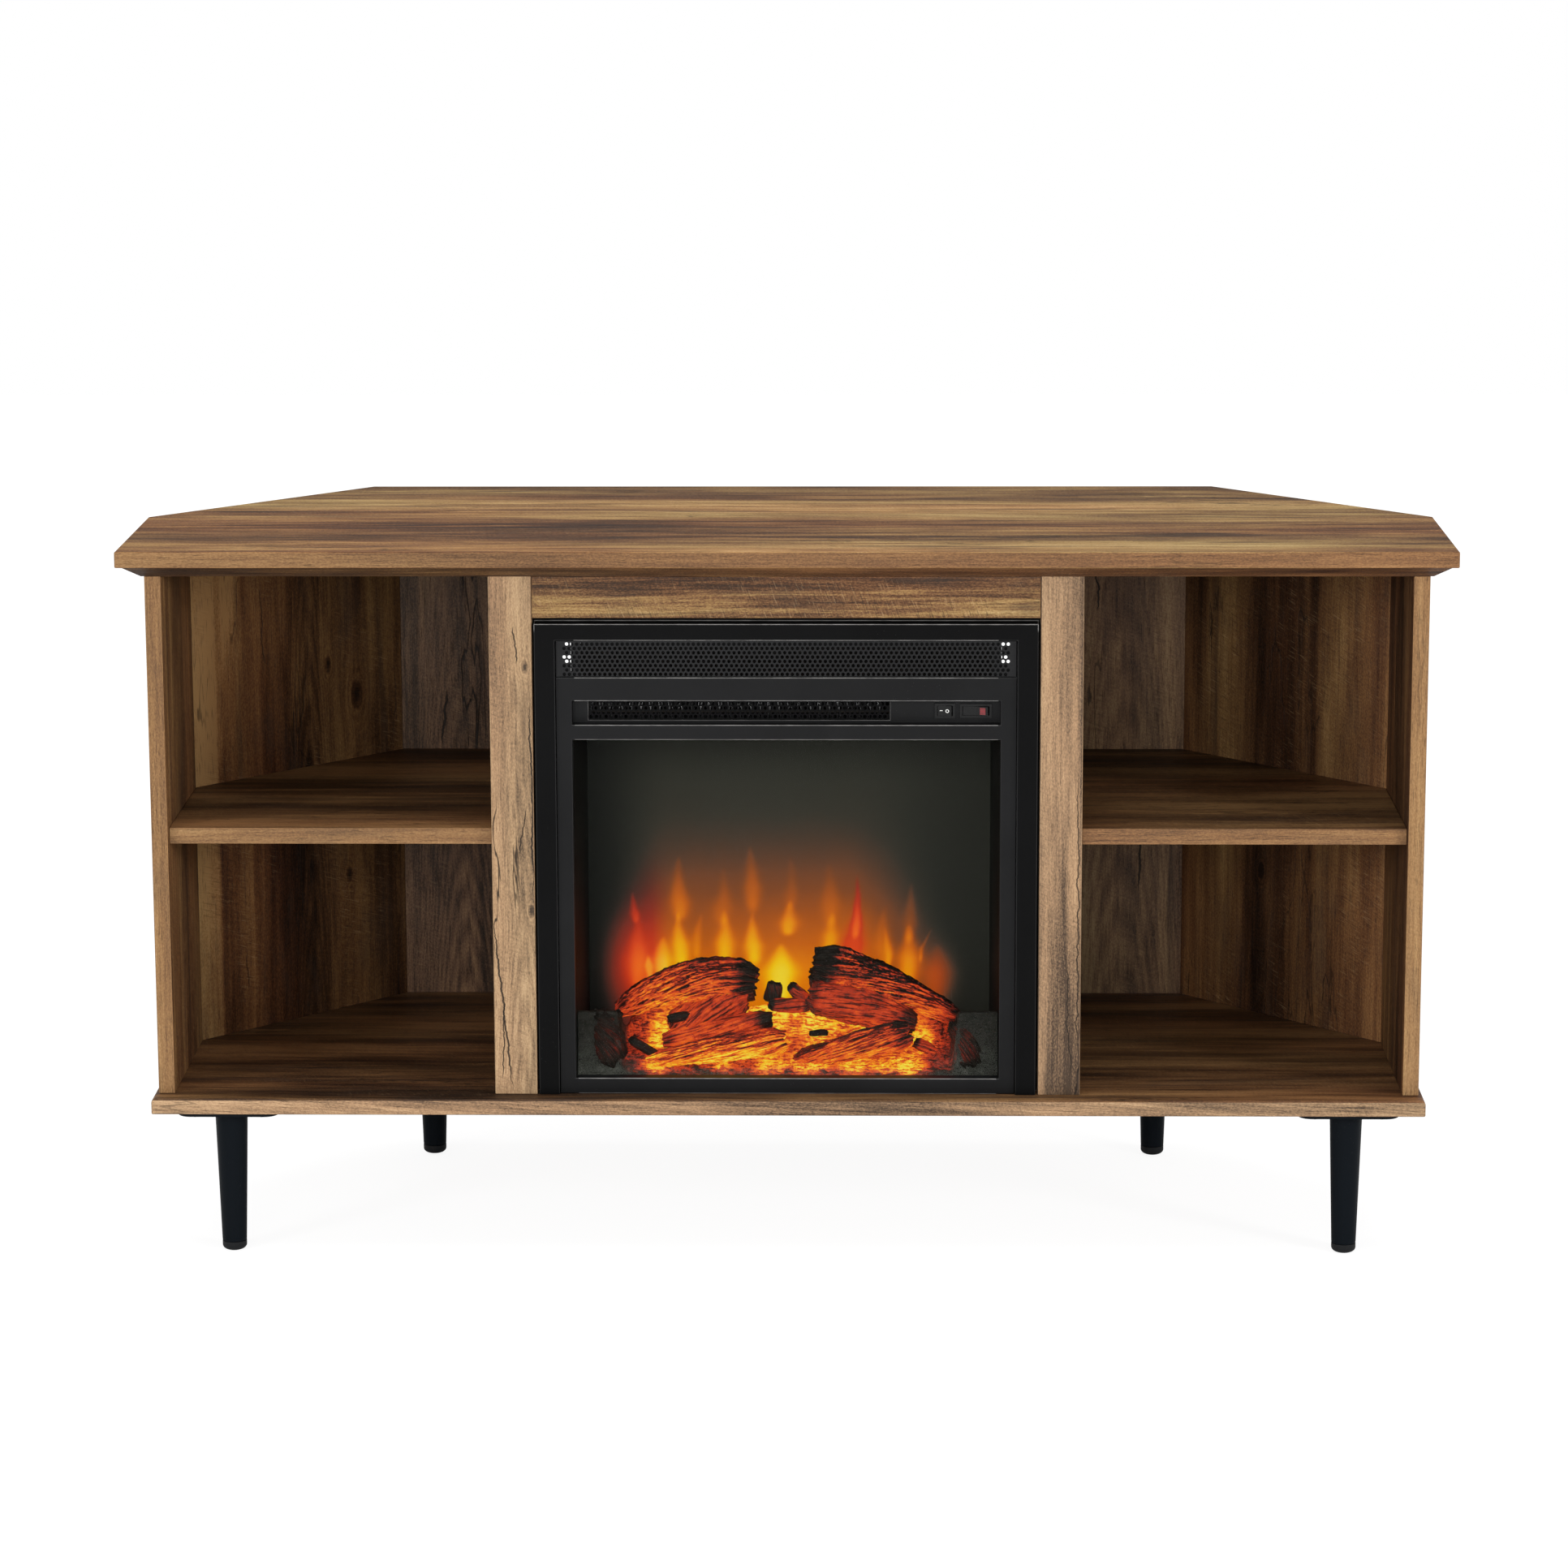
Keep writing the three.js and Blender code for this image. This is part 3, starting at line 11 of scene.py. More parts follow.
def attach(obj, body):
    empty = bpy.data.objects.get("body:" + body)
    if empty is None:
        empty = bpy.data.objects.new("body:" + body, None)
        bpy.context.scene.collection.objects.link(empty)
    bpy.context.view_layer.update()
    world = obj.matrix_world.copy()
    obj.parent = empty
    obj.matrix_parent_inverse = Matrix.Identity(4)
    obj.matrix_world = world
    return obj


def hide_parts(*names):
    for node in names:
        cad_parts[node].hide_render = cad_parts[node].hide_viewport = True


bl_info = {
    "name": "Fireplace TV Stand",
    "version": (1, 0, 0),
    "blender": (4, 5, 0),
    "location": "View3D > Sidebar > TV Stand",
    "description": "Builds the boards, steel front, log fire and studio of a corner TV stand",
    "category": "Object",
}

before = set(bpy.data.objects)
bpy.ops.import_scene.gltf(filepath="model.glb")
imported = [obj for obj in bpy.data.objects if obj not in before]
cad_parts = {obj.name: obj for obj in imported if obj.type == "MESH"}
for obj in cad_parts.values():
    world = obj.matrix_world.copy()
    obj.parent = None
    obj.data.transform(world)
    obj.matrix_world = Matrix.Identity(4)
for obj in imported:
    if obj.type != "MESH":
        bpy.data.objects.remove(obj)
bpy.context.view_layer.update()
MM = 0.001
INSERT_FRONT = -180.0
INSERT_BASE = 155.3
FIREBOX_FRONT = 20.6
SCREEN_FRONT = 129.0
FIREBOX_HALF = 198.2
SCREEN_HALF = 192.2
LOG_HEIGHT = 120.0
LOG_RADIUS = 20.0
CAP_RINGS = 9
WHITE = (1.0, 1.0, 1.0, 1.0)
TURN_STEPS = 48


# Numbers and repeatable noise


def linear(hex_colour):
    """A colour written as six hex digits, in linear light with an alpha of one."""
    parts = [int(hex_colour[i : i + 2], 16) / 255 for i in (0, 2, 4)]
    return (*[c / 12.92 if c <= 0.04045 else ((c + 0.055) / 1.055) ** 2.4 for c in parts], 1.0)


def hashed(cells, seed):
    """A number from 0 to 1 for each whole-number cell: its coordinates times large primes, stirred."""
    i, j, k = np.moveaxis(cells, -1, 0)
    h = (i * 374761393 + j * 668265263 + k * 2147483647 + seed * 1274126177) & 0xFFFFFFFF
    h = ((h ^ (h >> 13)) * 1274126177) & 0xFFFFFFFF
    return ((h ^ (h >> 16)) & 0xFFFF) / 0xFFFF


def value_noise(places, seed=0):
    """Smooth noise from 0 to 1: the hashed corners of each place's cell, mixed by smoothed shares."""
    cells = np.floor(places).astype(np.int64)
    share = places - cells
    share = share * share * (3 - 2 * share)
    total = np.zeros(places.shape[:-1])
    for corner in itertools.product((0, 1), repeat=3):
        weight = np.where(np.array(corner), share, 1 - share).prod(-1)
        total += weight * hashed(cells + np.array(corner), seed)
    return total


def fractal(places, octaves=4, seed=0, gain=0.5):
    """Noise from 0 to 1 with finer noise added: each octave is twice as fine and gain times as strong."""
    strengths = gain ** np.arange(octaves)
    layers = [s * value_noise(places * 2**n, seed + n) for n, s in enumerate(strengths)]
    return sum(layers) / strengths.sum()


def smooth_step(low, high, value):
    """0 below low, 1 above high, and an even S between them."""
    share = np.clip((value - low) / (high - low), 0, 1)
    return share * share * (3 - 2 * share)


def bell(value, spread, power=2):
    """1 at zero, falling off like a bell over the spread."""
    return np.exp(-(np.abs(value / spread) ** power))


# Meshes


def grid_quads(rows, columns, wrap=False, start=0):
    """Faces between the points of a grid, row by row; with wrap the last column joins the first."""
    across = np.arange(columns if wrap else columns - 1)
    a = np.arange(rows - 1)[:, None] * columns + across
    b = np.arange(rows - 1)[:, None] * columns + (across + 1) % columns
    return (np.stack([a, b, b + columns, a + columns], -1).reshape(-1, 4)) + start


def flipped(faces):
    """The same faces, seen from their other side."""
    return [np.asarray(group)[:, ::-1] for group in faces]


def closed_grid(rows, columns):
    """Faces of a tube of rings, with a flat face that closes it at each end."""
    ring = np.arange(columns)
    return [grid_quads(rows, columns, wrap=True), [ring[::-1]], [ring + columns * (rows - 1)]]


def new_piece(name, points, faces, looks, slot, replaces=(), smooth=None, body="stand"):
    """A mesh object from points in mm and lists of faces. smooth is the angle up to which it looks round."""
    mesh = bpy.data.meshes.new(name)
    rows = [face for group in faces for face in np.asarray(group).tolist()]
    mesh.from_pydata((np.asarray(points, float) * MM).tolist(), [], rows)
    mesh.validate()
    if smooth is not None:
        mesh.shade_smooth()
        mesh.set_sharp_from_angle(angle=math.radians(smooth))
    for finish in looks if isinstance(looks, list) else [looks]:
        mesh.materials.append(finish)
    piece = bpy.data.objects.new(name, mesh)
    bpy.context.scene.collection.objects.link(piece)
    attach(piece, body)
    if replaces:
        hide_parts(*replaces)
    return piece


def merge_parts(name, parts, *rest, **options):
    """One piece from several lots of points and faces."""
    starts = np.cumsum([0] + [len(points) for points, groups in parts])
    faces = [np.asarray(group) + start for start, part in zip(starts, parts) for group in part[1]]
    return new_piece(name, np.concatenate([points for points, groups in parts]), faces, *rest, **options)


def read(items, key, width=1, kind=float):
    """One property of a mesh's faces, corners or points, as an array with a row for each of them."""
    values = np.zeros(len(items) * width, kind)
    items.foreach_get(key, values)
    return values.reshape(-1, width).squeeze()


def face_normals(mesh):
    """The outward direction of every face."""
    return read(mesh.polygons, "normal", 3)


def point_values(piece, name, values):
    """Puts one number on each point of a piece, for its material to read."""
    layer = piece.data.attributes.new(name, "FLOAT", "POINT")
    layer.data.foreach_set("value", np.asarray(values, np.float32).ravel())


def welded(points, faces, places=3):
    """Joins points that lie on each other, and gives the points and the faces that use them."""
    found, back = np.unique(np.round(points, places), axis=0, return_inverse=True)
    back = back.ravel()
    return found, [back[np.asarray(group)] for group in faces]


def rounded_outline(corners, insets, radius, steps=3):
    """A convex outline with every edge moved in by its inset and every corner turned into an arc.

    An arc's centre is where the two edges meet once they are moved in by inset plus radius."""
    corners = np.asarray(corners, float)
    along = np.roll(corners, -1, 0) - corners
    normal = np.stack([along[:, 1], -along[:, 0]], 1) / np.linalg.norm(along, axis=1)[:, None]
    reach = (normal * corners).sum(1) - insets - radius
    before = np.roll(normal, 1, 0)
    sides = np.stack([np.roll(reach, 1), reach], 1)[..., None]
    centre = np.linalg.solve(np.stack([before, normal], 1), sides)[..., 0]
    start = np.arctan2(before[:, 1], before[:, 0])
    turn = (np.arctan2(normal[:, 1], normal[:, 0]) - start) % (2 * np.pi)
    angle = start[:, None] + turn[:, None] * np.linspace(0, 1, steps + 1)
    return (centre[:, None] + radius * np.stack([np.cos(angle), np.sin(angle)], -1)).reshape(-1, 2)


def arris_levels(low, high, under, over, steps=3):
    """Heights and insets of a board's edge: a quarter circle below, straight, a quarter circle above."""
    angle = np.linspace(0, np.pi / 2, steps + 1)
    below = [(low + under * (1 - math.sin(a)), under * (1 - math.cos(a))) for a in angle[::-1]]
    above = [(high - over + over * math.sin(a), over * (1 - math.cos(a))) for a in angle]
    return below + above


def prism(corners, levels, radius, steps=3):
    """Points and faces of a board: its outline at each level, joined by quads and closed by two flats."""
    count = len(corners)
    rings = []
    for height, inset in levels:
        ring = rounded_outline(corners, np.broadcast_to(inset, count), radius, steps)
        rings.append(np.column_stack([ring, np.full(len(ring), height)]))
    points = np.concatenate(rings)
    return points, closed_grid(len(rings), len(rings[0]))


def grain_coordinates(mesh, upright, seed):
    """Stores along, across and seed for each face corner, so that the grain follows each face of a board.

    On a flat board the grain runs along x on the broad faces and along the edge on the edges; on an
    upright board it runs along z. Each side of the board is shifted, so that no two sides match."""
    normals = face_normals(mesh)
    flat = np.abs(normals[:, 2]) > 0.7
    level = np.stack([-normals[:, 1], normals[:, 0], np.zeros(len(normals))], 1)
    level /= np.maximum(np.linalg.norm(level, axis=1), 1e-9)[:, None]
    x, y, z = np.eye(3)
    along = np.where(flat[:, None], x, z if upright else level)
    across = np.where(flat[:, None], y, level if upright else z)
    side = np.round(np.arctan2(normals[:, 1], normals[:, 0]) / (np.pi / 4)) + 4
    shift = np.where(flat, 0.0, 0.37 * side) if not upright else 0.0 * side
    totals = read(mesh.polygons, "loop_total", kind=np.int32)
    owner = np.repeat(np.arange(len(totals)), totals)
    corner = read(mesh.vertices, "co", 3)[read(mesh.loops, "vertex_index", kind=np.int32)]
    u = (corner * along[owner]).sum(1) + shift[owner]
    v = (corner * across[owner]).sum(1)
    w = seed + 3.1 * (side * ~flat)[owner]
    layer = mesh.attributes.new("grain", "FLOAT_VECTOR", "CORNER")
    layer.data.foreach_set("vector", np.stack([u, v, w], 1).astype(np.float32).ravel())


def board(name, corners, levels, looks, radius=0.8, upright=False, seed=0.0, edge=None, slot="oak"):
    """An oak-faced board over a node. edge picks the faces of the second finish from their normals."""
    points, faces = prism(corners, levels, radius)
    piece = new_piece(f"{name}_board", points, faces, looks, slot=slot, replaces=[name])
    grain_coordinates(piece.data, upright, seed)
    if edge is not None:
        chosen = edge(face_normals(piece.data)).astype(np.int32)
        piece.data.polygons.foreach_set("material_index", chosen)
    return piece


def rectangle(x0, x1, y0, y1):
    """The four corners of a rectangle, counterclockwise."""
    return [(x0, y0), (x1, y0), (x1, y1), (x0, y1)]


def mirrored(corners):
    """The outline on the other side of the cabinet, still running counterclockwise."""
    return [(-x, y) for x, y in reversed(corners)]


def lathe(profile, centre):
    """A turned body: the profile of radius and height goes round the axis; its ends lie on the axis."""
    steps = TURN_STEPS
    profile = np.asarray(profile, float)
    angle = np.linspace(0, 2 * np.pi, steps, endpoint=False)
    inner = profile[1:-1]
    turned = inner[:, :1, None] * np.stack([np.cos(angle), np.sin(angle)], -1) + centre
    height = np.broadcast_to(inner[:, 1:], (len(inner), steps))
    rings = np.concatenate([turned, height[..., None]], -1).reshape(-1, 3)
    poles = np.array([[*centre, profile[i, 1]] for i in (0, -1)])
    points = np.concatenate([rings, poles])
    ring = np.arange(steps)
    after = (ring + 1) % steps
    last = len(rings) - steps
    low = np.stack([np.full(steps, len(rings)), after, ring], 1)
    high = np.stack([last + ring, last + after, np.full(steps, len(rings) + 1)], 1)
    return points, [grid_quads(len(inner), steps, wrap=True), low, high]


def refined(node, finish, width=0.5, segments=2, body="stand", angle=32, edge=None):
    """A copy of a node with its points merged, its flat faces cleaned and its edges softly broken."""
    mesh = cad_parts[node].data.copy()
    mesh.materials.clear()
    mesh.materials.append(finish)
    if edge:
        mesh.materials.append(edge)
    piece = bpy.data.objects.new(f"{node}_piece", mesh)
    bpy.context.scene.collection.objects.link(piece)
    weld = piece.modifiers.new("weld", "WELD")
    weld.merge_threshold = 0.01 * MM
    flat = piece.modifiers.new("flat", "DECIMATE")
    flat.decimate_type = "DISSOLVE"
    flat.angle_limit = math.radians(0.5)
    bevel = piece.modifiers.new("bevel", "BEVEL")
    bevel.width = width * MM
    bevel.segments = segments
    bevel.limit_method = "ANGLE"
    bevel.angle_limit = math.radians(angle)
    bevel.material = 1 if edge else -1
    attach(piece, body)
    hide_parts(node)
    return piece


# Materials


class Wire:
    """An output socket. Arithmetic on it adds Math nodes and gives the output of the last one."""

    def __init__(self, finish, socket):
        self.finish = finish
        self.socket = socket

    def math(self, operation, *values):
        return self.finish.add("ShaderNodeMath", {"operation": operation}, [self, *values])

    def __add__(self, other):
        return self.math("ADD", other)

    def __sub__(self, other):
        return self.math("SUBTRACT", other)

    def __rsub__(self, other):
        return self.finish.add("ShaderNodeMath", {"operation": "SUBTRACT"}, [other, self])

    def __mul__(self, other):
        return self.math("MULTIPLY", other)

    def __truediv__(self, other):
        return self.math("DIVIDE", other)

    def __pow__(self, other):
        return self.math("POWER", other)

    def __abs__(self):
        return self.math("ABSOLUTE")

    __radd__ = __add__
    __rmul__ = __mul__

    def fade(self, low, high):
        """0 at low and 1 at high, with an even S between them. low may be above high."""
        settings = {"interpolation_type": "SMOOTHSTEP"}
        if low < high:
            return self.finish.add("ShaderNodeMapRange", settings, [self, low, high, 0.0, 1.0])
        return self.finish.add("ShaderNodeMapRange", settings, [self, high, low, 1.0, 0.0])

    def bell(self):
        """1 at zero, falling off like a bell."""
        return (self * self * -1.0).math("EXPONENT")


class Finish:
    """A material or a world under construction."""

    def __init__(self, owner):
        self.owner = bpy.data.materials.new(owner) if isinstance(owner, str) else owner
        self.owner.use_nodes = True
        self.tree = self.owner.node_tree
        self.tree.nodes.clear()

    def add(self, kind, settings=None, inputs=(), output=0):
        """Adds a node: its settings first, then the values or wires of its sockets."""
        node = self.tree.nodes.new(kind)
        for key, value in (settings or {}).items():
            if key == "stops":
                self.set_stops(node.color_ramp, value)
            else:
                setattr(node, key, value)
        for key, value in inputs.items() if isinstance(inputs, dict) else enumerate(inputs):
            if isinstance(value, Wire):
                self.tree.links.new(value.socket, node.inputs[key])
            elif value is not None:
                node.inputs[key].default_value = value
        return Wire(self, node.outputs[output]) if node.outputs else None

    @staticmethod
    def set_stops(ramp, stops):
        while len(ramp.elements) < len(stops):
            ramp.elements.new(1.0)
        for element, (place, colour) in zip(ramp.elements, stops):
            element.position = place
            element.color = linear(colour) if isinstance(colour, str) else (colour,) * 3 + (1.0,)

    def ramp(self, value, stops):
        """Colour along a list of stops."""
        return self.add("ShaderNodeValToRGB", {"stops": stops}, [value])

    def mix(self, share, a, b, blend="MIX"):
        """Mixes two colours."""
        a, b = (linear(c) if isinstance(c, str) else c for c in (a, b))
        settings = {"data_type": "RGBA", "blend_type": blend}
        return self.add("ShaderNodeMix", settings, {0: share, 6: a, 7: b}, output=2)

    def split(self, vector):
        """The three parts of a vector."""
        first = self.add("ShaderNodeSeparateXYZ", None, [vector])
        return [Wire(self, socket) for socket in first.socket.node.outputs]

    def join(self, x, y, z):
        """A vector from three parts."""
        return self.add("ShaderNodeCombineXYZ", None, [x, y, z])

    def place(self):
        """Object coordinates."""
        return self.add("ShaderNodeTexCoord", output="Object")

    def attribute(self, name, output="Fac"):
        """A value that the piece carries."""
        return self.add("ShaderNodeAttribute", {"attribute_name": name}, output=output)

    def noise(self, vector, scale=1.0, detail=2.0, roughness=0.5, distortion=0.0):
        """Smooth noise, from 0 to 1."""
        sockets = {"Vector": vector, "Scale": scale, "Detail": detail, "Roughness": roughness}
        return self.add("ShaderNodeTexNoise", None, sockets | {"Distortion": distortion})

    def streaks(self, parts, scales, detail=2.0, roughness=0.5, distortion=0.0):
        """Noise drawn out by its own scale for each of the three parts of a place."""
        place = self.join(*[part * scale for part, scale in zip(parts, scales)])
        return self.noise(place, 1.0, detail, roughness, distortion)

    def cells(self, vector, scale):
        """Distance to the nearest of scattered points."""
        return self.add("ShaderNodeTexVoronoi", None, {"Vector": vector, "Scale": scale})

    def bump(self, height, distance, strength=1.0):
        """A normal from a height; distance is how far a height of one stands out, in mm."""
        sockets = {"Strength": strength, "Distance": distance * MM, "Height": height}
        return self.add("ShaderNodeBump", None, sockets)

    def finish(self, **sockets):
        """Ends in a Principled shader. Socket names are given with underscores for spaces."""
        named = {key.replace("_", " "): value for key, value in sockets.items()}
        self.add("ShaderNodeOutputMaterial", None, [self.add("ShaderNodeBsdfPrincipled", None, named)])
        return self.owner

    def end(self, mixed, kind="ShaderNodeOutputMaterial"):
        """Ends in a mix of two shaders, given as the share of the second and both of them."""
        self.add(kind, None, [self.add("ShaderNodeMixShader", None, mixed)])
        return self.owner


OAK_DEFAULTS = dict(
    broad=1.0, streak=1.0, line=1.0, pore=0.55, fleck=0.3, crack=0.6, blotch=0.3, wander=16.0, tint=0.4,
    vein=0.5, tilt=0.0, shift=0.0, contrast=1.0, gloss=0.18, low=0.0,
)


def oak(name, depth, stops, bands=None, knots=(), arches=(), splits=(), **options):
    """Rustic oak facing. One value, from broad tones, streaks and fine lines, is coloured by a ramp.

    bands: (span of across in mm, stops) of brightness over the width, 0.5 being neutral; on the top they are
    bands of grain, on the diagonals and the bottom panel painted light and shade. knots: along, across, size
    in mm. arches: along, across, width, length, turns and strength of cathedral grain.
    splits: two alongs, the across at each of them and the width of a crack, in mm. low: how much darker
    an upright board is near its foot."""
    keep = OAK_DEFAULTS | options
    f = Finish(name)

    def grain(along, down, layer, detail=2.0, roughness=0.5, distortion=0.0):
        """Noise that follows the grain: its scales along and across it, and the layer that it is cut from."""
        return f.streaks((u, v, w + layer), (along, down, 1.0), detail, roughness, distortion)

    u, v, w = f.split(f.attribute("grain", "Vector"))
    plain_v = v
    sway = grain(2.6, 7.0, 20.0) - 0.5
    ripple = grain(16.0, 30.0, 30.0, roughness=0.55) - 0.5
    v = v + sway * (keep["wander"] * MM) + ripple * (0.12 * keep["wander"] * MM) + u * keep["tilt"]
    spots = None
    for along, across, size in knots:
        du = (u - along * MM) * (0.45 / (size * MM))
        dv = (v - across * MM) * (1.0 / (size * MM))
        distance = (du * du + dv * dv) ** 0.5
        v = v - (v - across * MM) * (distance * 0.55).bell() * 0.82
        rings = (distance * 9.0).math("SINE") * 0.12 * (distance * 0.5).bell()
        spot = distance.fade(1.15, 0.35) * 0.75 + rings
        spots = spot if spots is None else spots + spot
    broad = grain(1.7, 17.0, 0.0, 4.0, 0.62, 0.25)
    streak = grain(4.2, 95.0, 1.0, 4.0, 0.7)
    line = grain(9.0, 430.0, 2.0, 3.0, 0.66)
    speckle = grain(400.0, 860.0, 11.0, roughness=0.6)
    value = 0.5 + keep["shift"] + (broad - 0.5) * (2.0 * keep["broad"])
    value = value + (streak - 0.5) * (1.15 * keep["streak"]) + (line - 0.5) * (0.85 * keep["line"])
    value = value + (speckle - 0.5) * 0.7
    if keep["low"]:
        value = value - u.fade(0.36, 0.24) * keep["low"]
    if bands:
        (low, high), marks = bands
        place = (v - low * MM) * (1000.0 / (high - low))
        value = value + (f.ramp(place, marks) - 0.5) * keep["contrast"]
    for along, across, width, length, turns, strength in arches:
        du = (u - along * MM) * (1000.0 / length)
        dv = (v - across * MM) * (1000.0 / width)
        rings = ((du + dv * dv * 1.4 + (streak - 0.5) * 0.3) * (turns * 6.283)).math("SINE")
        value = value + rings * (dv.bell() * (du * 0.8).bell() * strength)
    if spots is not None:
        value = value - spots * 0.62
    colour = f.ramp(value, stops)
    tint = grain(1.1, 9.0, 5.0).fade(0.36, 0.66)
    cool = f.mix(tint, "b6bba4", "d0a284")
    colour = f.mix(keep["tint"], colour, f.mix(1.0, colour, cool, "MULTIPLY"))
    vein = grain(3.2, 62.0, 12.0, 3.0, 0.6).fade(0.58, 0.7)
    colour = f.mix(vein * keep["vein"], colour, "33271f")
    dirt = grain(7.0, 26.0, 7.0, 4.0, 0.65).fade(0.52, 0.74)
    colour = f.mix(dirt * keep["blotch"], colour, "3a3029")
    sawn = f.noise(f.join(u * 900.0 + v * 330.0, v * 70.0, w + 8.0), 1.0, 2.0, 0.6)
    where = grain(5.0, 16.0, 9.0).fade(0.4, 0.64)
    colour = f.mix(sawn.fade(0.54, 0.68) * where * keep["fleck"], colour, "281c14")
    colour = f.mix(sawn.fade(0.42, 0.3) * where * (keep["fleck"] * 0.35), colour, "c9ac82")
    pore = grain(60.0, 1250.0, 3.0, 1.0).fade(0.6, 0.72)
    colour = f.mix(pore * keep["pore"], colour, "33241a")
    split = grain(6.0, 52.0, 4.0, 3.0)
    rare = grain(3.4, 12.0, 6.0, 1.0).fade(0.55, 0.64)
    crack = (abs(split - 0.5)).fade(0.014, 0.003) * rare
    if splits:
        wiggle = grain(34.0, 0.0, 13.0, 4.0, 0.65) - 0.5
    for first, last, across_first, across_last, width in splits:
        share = (u - first * MM) * (1000.0 / (last - first))
        middle = share * ((across_last - across_first) * MM) + across_first * MM
        line_off = abs(plain_v + wiggle * 0.012 - middle)
        ends = share.fade(0.0, 0.25) * share.fade(1.0, 0.75)
        crack = crack + (line_off / (ends * (width * MM) + 0.00001)).fade(1.0, 0.5) * ends.fade(0.0, 0.05)
    colour = f.mix(crack * keep["crack"], colour, "120c08")
    height = line * 0.5 + streak * 0.5 + speckle * 0.8 - pore * 0.7 - crack * 1.5 + sawn * where * 0.5
    return f.finish(
        Base_Color=colour,
        Roughness=0.5 + pore * 0.16 + (streak - 0.5) * 0.14 + dirt * 0.08,
        Specular_IOR_Level=keep["gloss"],
        Normal=f.bump(height, depth, 0.55),
    )


def powder_coat(name, colour, roughness=0.5, grit=0.12, speck="000000", gloss=0.14):
    """Matt paint baked on steel: fine even grit, slight clouds in tone and shine, and a few dust specks."""
    f = Finish(name)
    place = f.place()
    clouds = f.noise(place, 9.0, 4.0, 0.6)
    fine = f.noise(place, 1500.0, 2.0, 0.6)
    dust = f.cells(place, 260.0).fade(0.09, 0.04) * clouds.fade(0.52, 0.66)
    tone = f.mix(clouds.fade(0.3, 0.7) * 0.35, colour, speck)
    tone = f.mix(fine.fade(0.62, 0.8) * 0.08, tone, "5a5a58")
    tone = f.mix(dust * 0.25, tone, "6a6965")
    return f.finish(
        Base_Color=tone,
        Roughness=roughness + (clouds - 0.5) * 0.16 + (fine - 0.5) * 0.1,
        Specular_IOR_Level=gloss,
        Normal=f.bump(fine, grit, 0.35),
    )


def worn_edge(name, colour, plain):
    """Broken edges of the painted sheet: a painted highlight where they lie level, broken up by noise, and the
    plain dark paint where they stand upright.

    The upright edges of the trim, bezel and fascia all lie further out than 195 mm; the trim's top edge is
    level over its whole width."""
    f = Finish(name)
    x, y, z = f.split(f.place())
    fine = f.noise(f.place(), 1500.0, 2.0, 0.6)
    highlight_breakup = f.noise(f.place(), 60.0, 4.0, 0.6)
    # level: 1 on the level edges, which get the painted highlight, 0 on the upright ones further out than 195
    # mm.
    level = abs(x).fade(0.1946, 0.1936) + z.fade(0.592, 0.596)
    tone = f.mix(highlight_breakup.fade(0.35, 0.65) * 0.5, colour, plain)
    return f.finish(
        Base_Color=f.mix(level, plain, tone),
        Roughness=0.36 + (fine - 0.5) * 0.1,
        Specular_IOR_Level=0.3,
        Normal=f.bump(fine, 0.04, 0.35),
    )


def heater_fins(name, bright, shade_colour):
    """Folded heater strip: painted glints in bright pairs between folds in painted shade, with less of the
    painted glint on the lower row.
    """
    f = Finish(name)
    x, y, z = f.split(f.place())
    uneven = f.streaks((x, y, z), (60.0, 0.0, 0.0))
    # Painted glints in pairs along x; high gives the lower row of fins less of them.
    glint_pairs = (x * 686.0).math("SINE").fade(0.0, 0.5) * uneven.fade(0.3, 0.5)
    high = z.fade(0.512, 0.517) * 0.85 + 0.15
    dust = f.noise(f.place(), 200.0, 3.0, 0.6)
    return f.finish(
        Base_Color=f.mix(glint_pairs * high, shade_colour, bright),
        Metallic=0.3,
        Roughness=0.4 + (dust - 0.5) * 0.3,
        Normal=f.bump(dust, 0.05, 0.3),
    )


def moulded_plastic(name, colour, roughness=0.42):
    """Moulded plastic with a fine leather-like texture and faint scuffs."""
    f = Finish(name)
    place = f.place()
    skin = f.cells(place, 900.0)
    scuff = f.noise(place, 60.0, 5.0, 0.7)
    tone = f.mix(scuff.fade(0.55, 0.8) * 0.2, colour, "303030")
    return f.finish(
        Base_Color=tone,
        Roughness=roughness + (scuff - 0.5) * 0.2,
        Specular_IOR_Level=0.22,
        Normal=f.bump(skin, 0.05, 0.4),
    )


def bare_metal(name, colour, roughness=0.34, brush=(40.0, 1.0, 40.0)):
    """Rolled metal with fine lines along one direction and dull patches."""
    f = Finish(name)
    x, y, z = f.split(f.place())
    lines = f.noise(f.join(x * brush[0], y * brush[1], z * brush[2]), 30.0, 4.0, 0.65)
    patch = f.noise(f.place(), 25.0, 4.0, 0.6)
    tone = f.mix(patch.fade(0.45, 0.75) * 0.4, colour, "6e6c68")
    return f.finish(
        Base_Color=tone,
        Metallic=1.0,
        Roughness=roughness + (patch - 0.5) * 0.3 + (lines - 0.5) * 0.12,
        Normal=f.bump(lines, 0.05, 0.3),
    )


def window_glass(name):
    """Slightly smoked glass: mostly clear, glossy at a low angle, with a faint haze of dust."""
    f = Finish(name)
    haze = f.noise(f.place(), 14.0, 4.0, 0.6)
    clear = f.add("ShaderNodeBsdfTransparent", None, {"Color": linear("f3f5f2")})
    sockets = {"Base Color": linear("0c0d0c"), "Roughness": 0.03 + haze.fade(0.5, 0.9) * 0.06}
    gloss = f.add("ShaderNodeBsdfPrincipled", None, sockets)
    shine = f.add("ShaderNodeLayerWeight", None, {"Blend": 0.18})
    share = shine * 0.4 + 0.01 + haze.fade(0.55, 0.9) * 0.01
    return f.end([share, clear, gloss])


